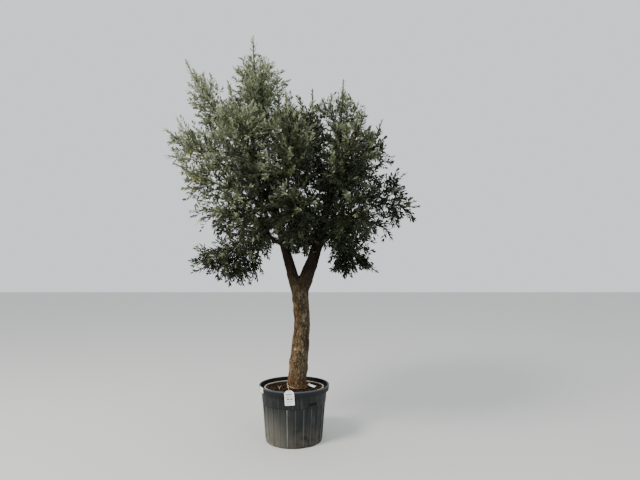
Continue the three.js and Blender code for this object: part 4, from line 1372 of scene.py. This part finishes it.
TAG_WIDTH, TAG_HEIGHT, TAG_THICK = 0.082, 0.122, 0.0015
TAG_CORNER, TAG_SHOULDER, TAG_EYELET = 0.004, 0.020, 0.0045
EYELET_DROP = 0.011
TAG_TURN = math.radians(-5)
TAG_LEAN = math.radians(4.5)
TAG_PLANE = -(RIM_RADIUS + 0.0003 + TAG_THICK / 2)
EYELET_HEIGHT = POT_HEIGHT + 0.002
TAG_FACING = Matrix.Rotation(TAG_TURN, 4, "Z")
EYELET = TAG_FACING @ Vector((0, TAG_PLANE, EYELET_HEIGHT))
TAG_PLACE = Matrix.Translation(EYELET) @ TAG_FACING @ Matrix.Rotation(-TAG_LEAN, 4, "Y")

tag = box((TAG_WIDTH, TAG_THICK, TAG_HEIGHT), (0, 0, EYELET_DROP - TAG_HEIGHT / 2))
tag.name = "hang_tag"


def cut_corners(is_wanted, width, segments):
    """Bevels the card's corners at the heights that are wanted."""

    def is_corner(edge):
        start, end = (vertex.co for vertex in edge.verts)
        return abs(start.y - end.y) > TAG_THICK / 2 and is_wanted(start.z)

    bpy.ops.object.mode_set(mode="EDIT")
    select(tag, "EDGE", is_corner)
    bpy.ops.mesh.bevel(offset=width, segments=segments)
    bpy.ops.object.mode_set(mode="OBJECT")


cut_corners(lambda height: height < -TAG_HEIGHT / 2, TAG_CORNER, 4)
cut_corners(lambda height: height > EYELET_DROP / 2, TAG_SHOULDER, 1)

bpy.ops.mesh.primitive_cylinder_add(radius=TAG_EYELET, depth=0.02, vertices=32, rotation=(math.pi / 2, 0, 0))
punch = bpy.context.object
settle(punch)
finish_with(tag, "BOOLEAN", object=punch, operation="DIFFERENCE", solver="EXACT")
bpy.data.objects.remove(punch)
tag.data.transform(TAG_PLACE)

BARS = [  # left end, height below the eyelet, length and thickness of each printed bar
    (-0.029, 0.020, 0.054, 0.0075),
    (-0.031, 0.034, 0.050, 0.0022),
    (-0.031, 0.041, 0.060, 0.0022),
    (-0.031, 0.048, 0.044, 0.0022),
    (-0.022, 0.060, 0.022, 0.0120),
    (0.008, 0.060, 0.018, 0.0120),
    (-0.031, 0.078, 0.056, 0.0022),
    (-0.031, 0.086, 0.040, 0.0022),
    (-0.031, 0.098, 0.022, 0.0030),
]
INK = 0.0002
bars = join(
    [
        box((length, INK, thick), (left + length / 2, -TAG_THICK / 2, -drop))
        for left, drop, length, thick in BARS
    ],
    "tag_bars",
)
bars.data.transform(TAG_PLACE)

card_tones = (0.35, (0.84, 0.85, 0.83)), (0.7, (0.72, 0.73, 0.70))
white_card = mottled("label_stock", 0.45, 0.5, (40, 40, 14), *card_tones, detail=5.0)
tag.data.materials.append(white_card)
bars.data.materials.append(plain("printed_grey", (0.14, 0.15, 0.16), 0.6))

RIM_LABEL_TURN = math.radians(-63)
LABEL_THICK = 0.0012
RIM_LABEL_WIDTH = 0.090
RIM_LABEL_CURL = 0.010  # how far its loose end stands off
RIM_LABEL_DRAPE = np.array(  # radius and height up the collar, round the lip and on to the rim's top
    [
        (0.3124, 0.4450), (0.3135, 0.4600), (0.3146, 0.4740),
        (0.3156, 0.4810), (0.3151, 0.4863), (0.3130, 0.4890),
    ]
)

SOIL_LABEL_SIZE = (0.078, 0.026)
SOIL_LABEL_PLACE = (0.157, -0.014)
SOIL_LABEL_TURN = math.radians(-36)
SOIL_LABEL_TILT = math.radians(20)
SOIL_LABEL_PROP = 0.014  # how far its end by the trunk is propped up
SOIL_LABEL_LIFT, SOIL_LABEL_BOW = 0.0035, 0.0035


def strip(name, size, cuts, rows=4):
    """A thin flat strip, cut across so that it can be bent."""
    bpy.ops.mesh.primitive_grid_add(x_subdivisions=cuts, y_subdivisions=rows, size=1)
    piece = bpy.context.object
    piece.name = name
    piece.scale = (*size, 1)
    settle(piece)
    return piece


rim_label = strip("rim_label", (RIM_LABEL_WIDTH, 1), 16, 12)
drape_steps = np.linspace(-0.5, 0.5, len(RIM_LABEL_DRAPE))
for vertex in rim_label.data.vertices:
    along, down, _ = vertex.co
    out, height = (np.interp(down, drape_steps, RIM_LABEL_DRAPE[:, k]) for k in (0, 1))
    out += RIM_LABEL_CURL * max(0, along / RIM_LABEL_WIDTH * 2 - 0.5) ** 2
    turn = RIM_LABEL_TURN + along / RIM_RADIUS
    vertex.co = (out * math.sin(turn), -out * math.cos(turn), height)
finish_with(rim_label, "SOLIDIFY", thickness=LABEL_THICK, offset=1)

soil_label = strip("soil_label", SOIL_LABEL_SIZE, 12)
for vertex in soil_label.data.vertices:
    along, across, _ = vertex.co
    up = (across + SOIL_LABEL_SIZE[1] / 2) * math.sin(SOIL_LABEL_TILT)
    spot = Matrix.Rotation(SOIL_LABEL_TURN, 3, "Z") @ Vector((along, across * math.cos(SOIL_LABEL_TILT), 0))
    bow = SOIL_LABEL_BOW * (along / SOIL_LABEL_SIZE[0] * 2) ** 2
    level = soil_height(*SOIL_LABEL_PLACE) + SOIL_LABEL_LIFT
    level += SOIL_LABEL_PROP * (0.5 - along / SOIL_LABEL_SIZE[0])
    vertex.co = (spot.x + SOIL_LABEL_PLACE[0], spot.y + SOIL_LABEL_PLACE[1], level + up + bow)
finish_with(soil_label, "SOLIDIFY", thickness=LABEL_THICK, offset=1)

for piece in (rim_label, soil_label):
    piece.data.materials.append(white_card)
label_nodes = {tag: "hang_tag", bars: "hang_tag", rim_label: "rim_label", soil_label: "soil_label"}
for piece, cad_node in label_nodes.items():
    smooth(piece, 40)
    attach(piece, "root")
    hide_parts(cad_node)


# The string: soft cream twine of two strands, tied round the foot of the trunk, laid over the rim and
# looped through the eyelet of the tag.

TIE_HEIGHT = 0.474
TIE_RISE = (0.014, 0.010)  # how far the loop rises towards the left and the back
STRING_RADIUS = 0.0019
STRAND_RADIUS = STRING_RADIUS * 0.62
TWIST_PITCH, TWIST_STEP = 0.0085, 0.0011
LOOP_CENTRE, LOOP_RADIUS = 0.027, 0.0917
KNOT_TURN = math.radians(200)
EYELET_RING = 0.008


def twine(points):
    """Two strands wound round each other along a line of points."""
    points = np.array(points, float)
    strands = []
    runs = np.linalg.norm(np.diff(points, axis=0), axis=1)
    along = np.concatenate([[0], np.cumsum(runs)])
    places = np.linspace(0, along[-1], max(12, int(along[-1] / TWIST_STEP)))
    line = np.stack([np.interp(places, along, points[:, k]) for k in range(3)], axis=1)
    tangents = unit(np.gradient(line, axis=0))
    side = unit(np.cross(tangents, [0.2, 0.3, 1.0]))
    over = np.cross(side, tangents)
    for phase in (0, math.pi):
        turn = places * 2 * math.pi / TWIST_PITCH + phase
        path = line + STRING_RADIUS * 0.5 * (side * np.cos(turn)[:, None] + over * np.sin(turn)[:, None])
        strands.append((path, np.full(len(path), STRAND_RADIUS)))
    return strands


def on_loop(turn):
    rise = TIE_RISE[1] * math.sin(turn) - TIE_RISE[0] * math.cos(turn)
    x, y = LOOP_CENTRE + LOOP_RADIUS * math.cos(turn), LOOP_RADIUS * math.sin(turn)
    return np.array([x, y, TIE_HEIGHT + rise])


loop = [on_loop(turn) for turn in np.linspace(0, 2 * math.pi, 73)]
knot = on_loop(KNOT_TURN)
ring_centre = np.array(EYELET) + [0, 0, EYELET_RING]
ring_side = np.array([-math.sin(TAG_TURN), math.cos(TAG_TURN), 0])
ring_turns = np.linspace(0, 2 * math.pi, 33)
ring = [ring_centre + EYELET_RING * (ring_side * math.cos(turn) + UP * math.sin(turn)) for turn in ring_turns]
tie = ring[0]
sag = (knot + tie) / 2 + np.array([0, 0, 0.003])
strand = [(1 - t) ** 2 * knot + 2 * (1 - t) * t * sag + t**2 * tie for t in np.linspace(0, 1, 24)]
string = tubes("tag_string", twine(loop) + twine(strand) + twine(ring))

twine_tones = (0.3, (0.60, 0.52, 0.34)), (0.7, (0.80, 0.73, 0.53))
string.data.materials.append(mottled("cotton_twine", 0.95, 0.5, (180, 180, 180), *twine_tones))
smooth(string, 180)
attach(string, "root")
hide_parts("tag_string")
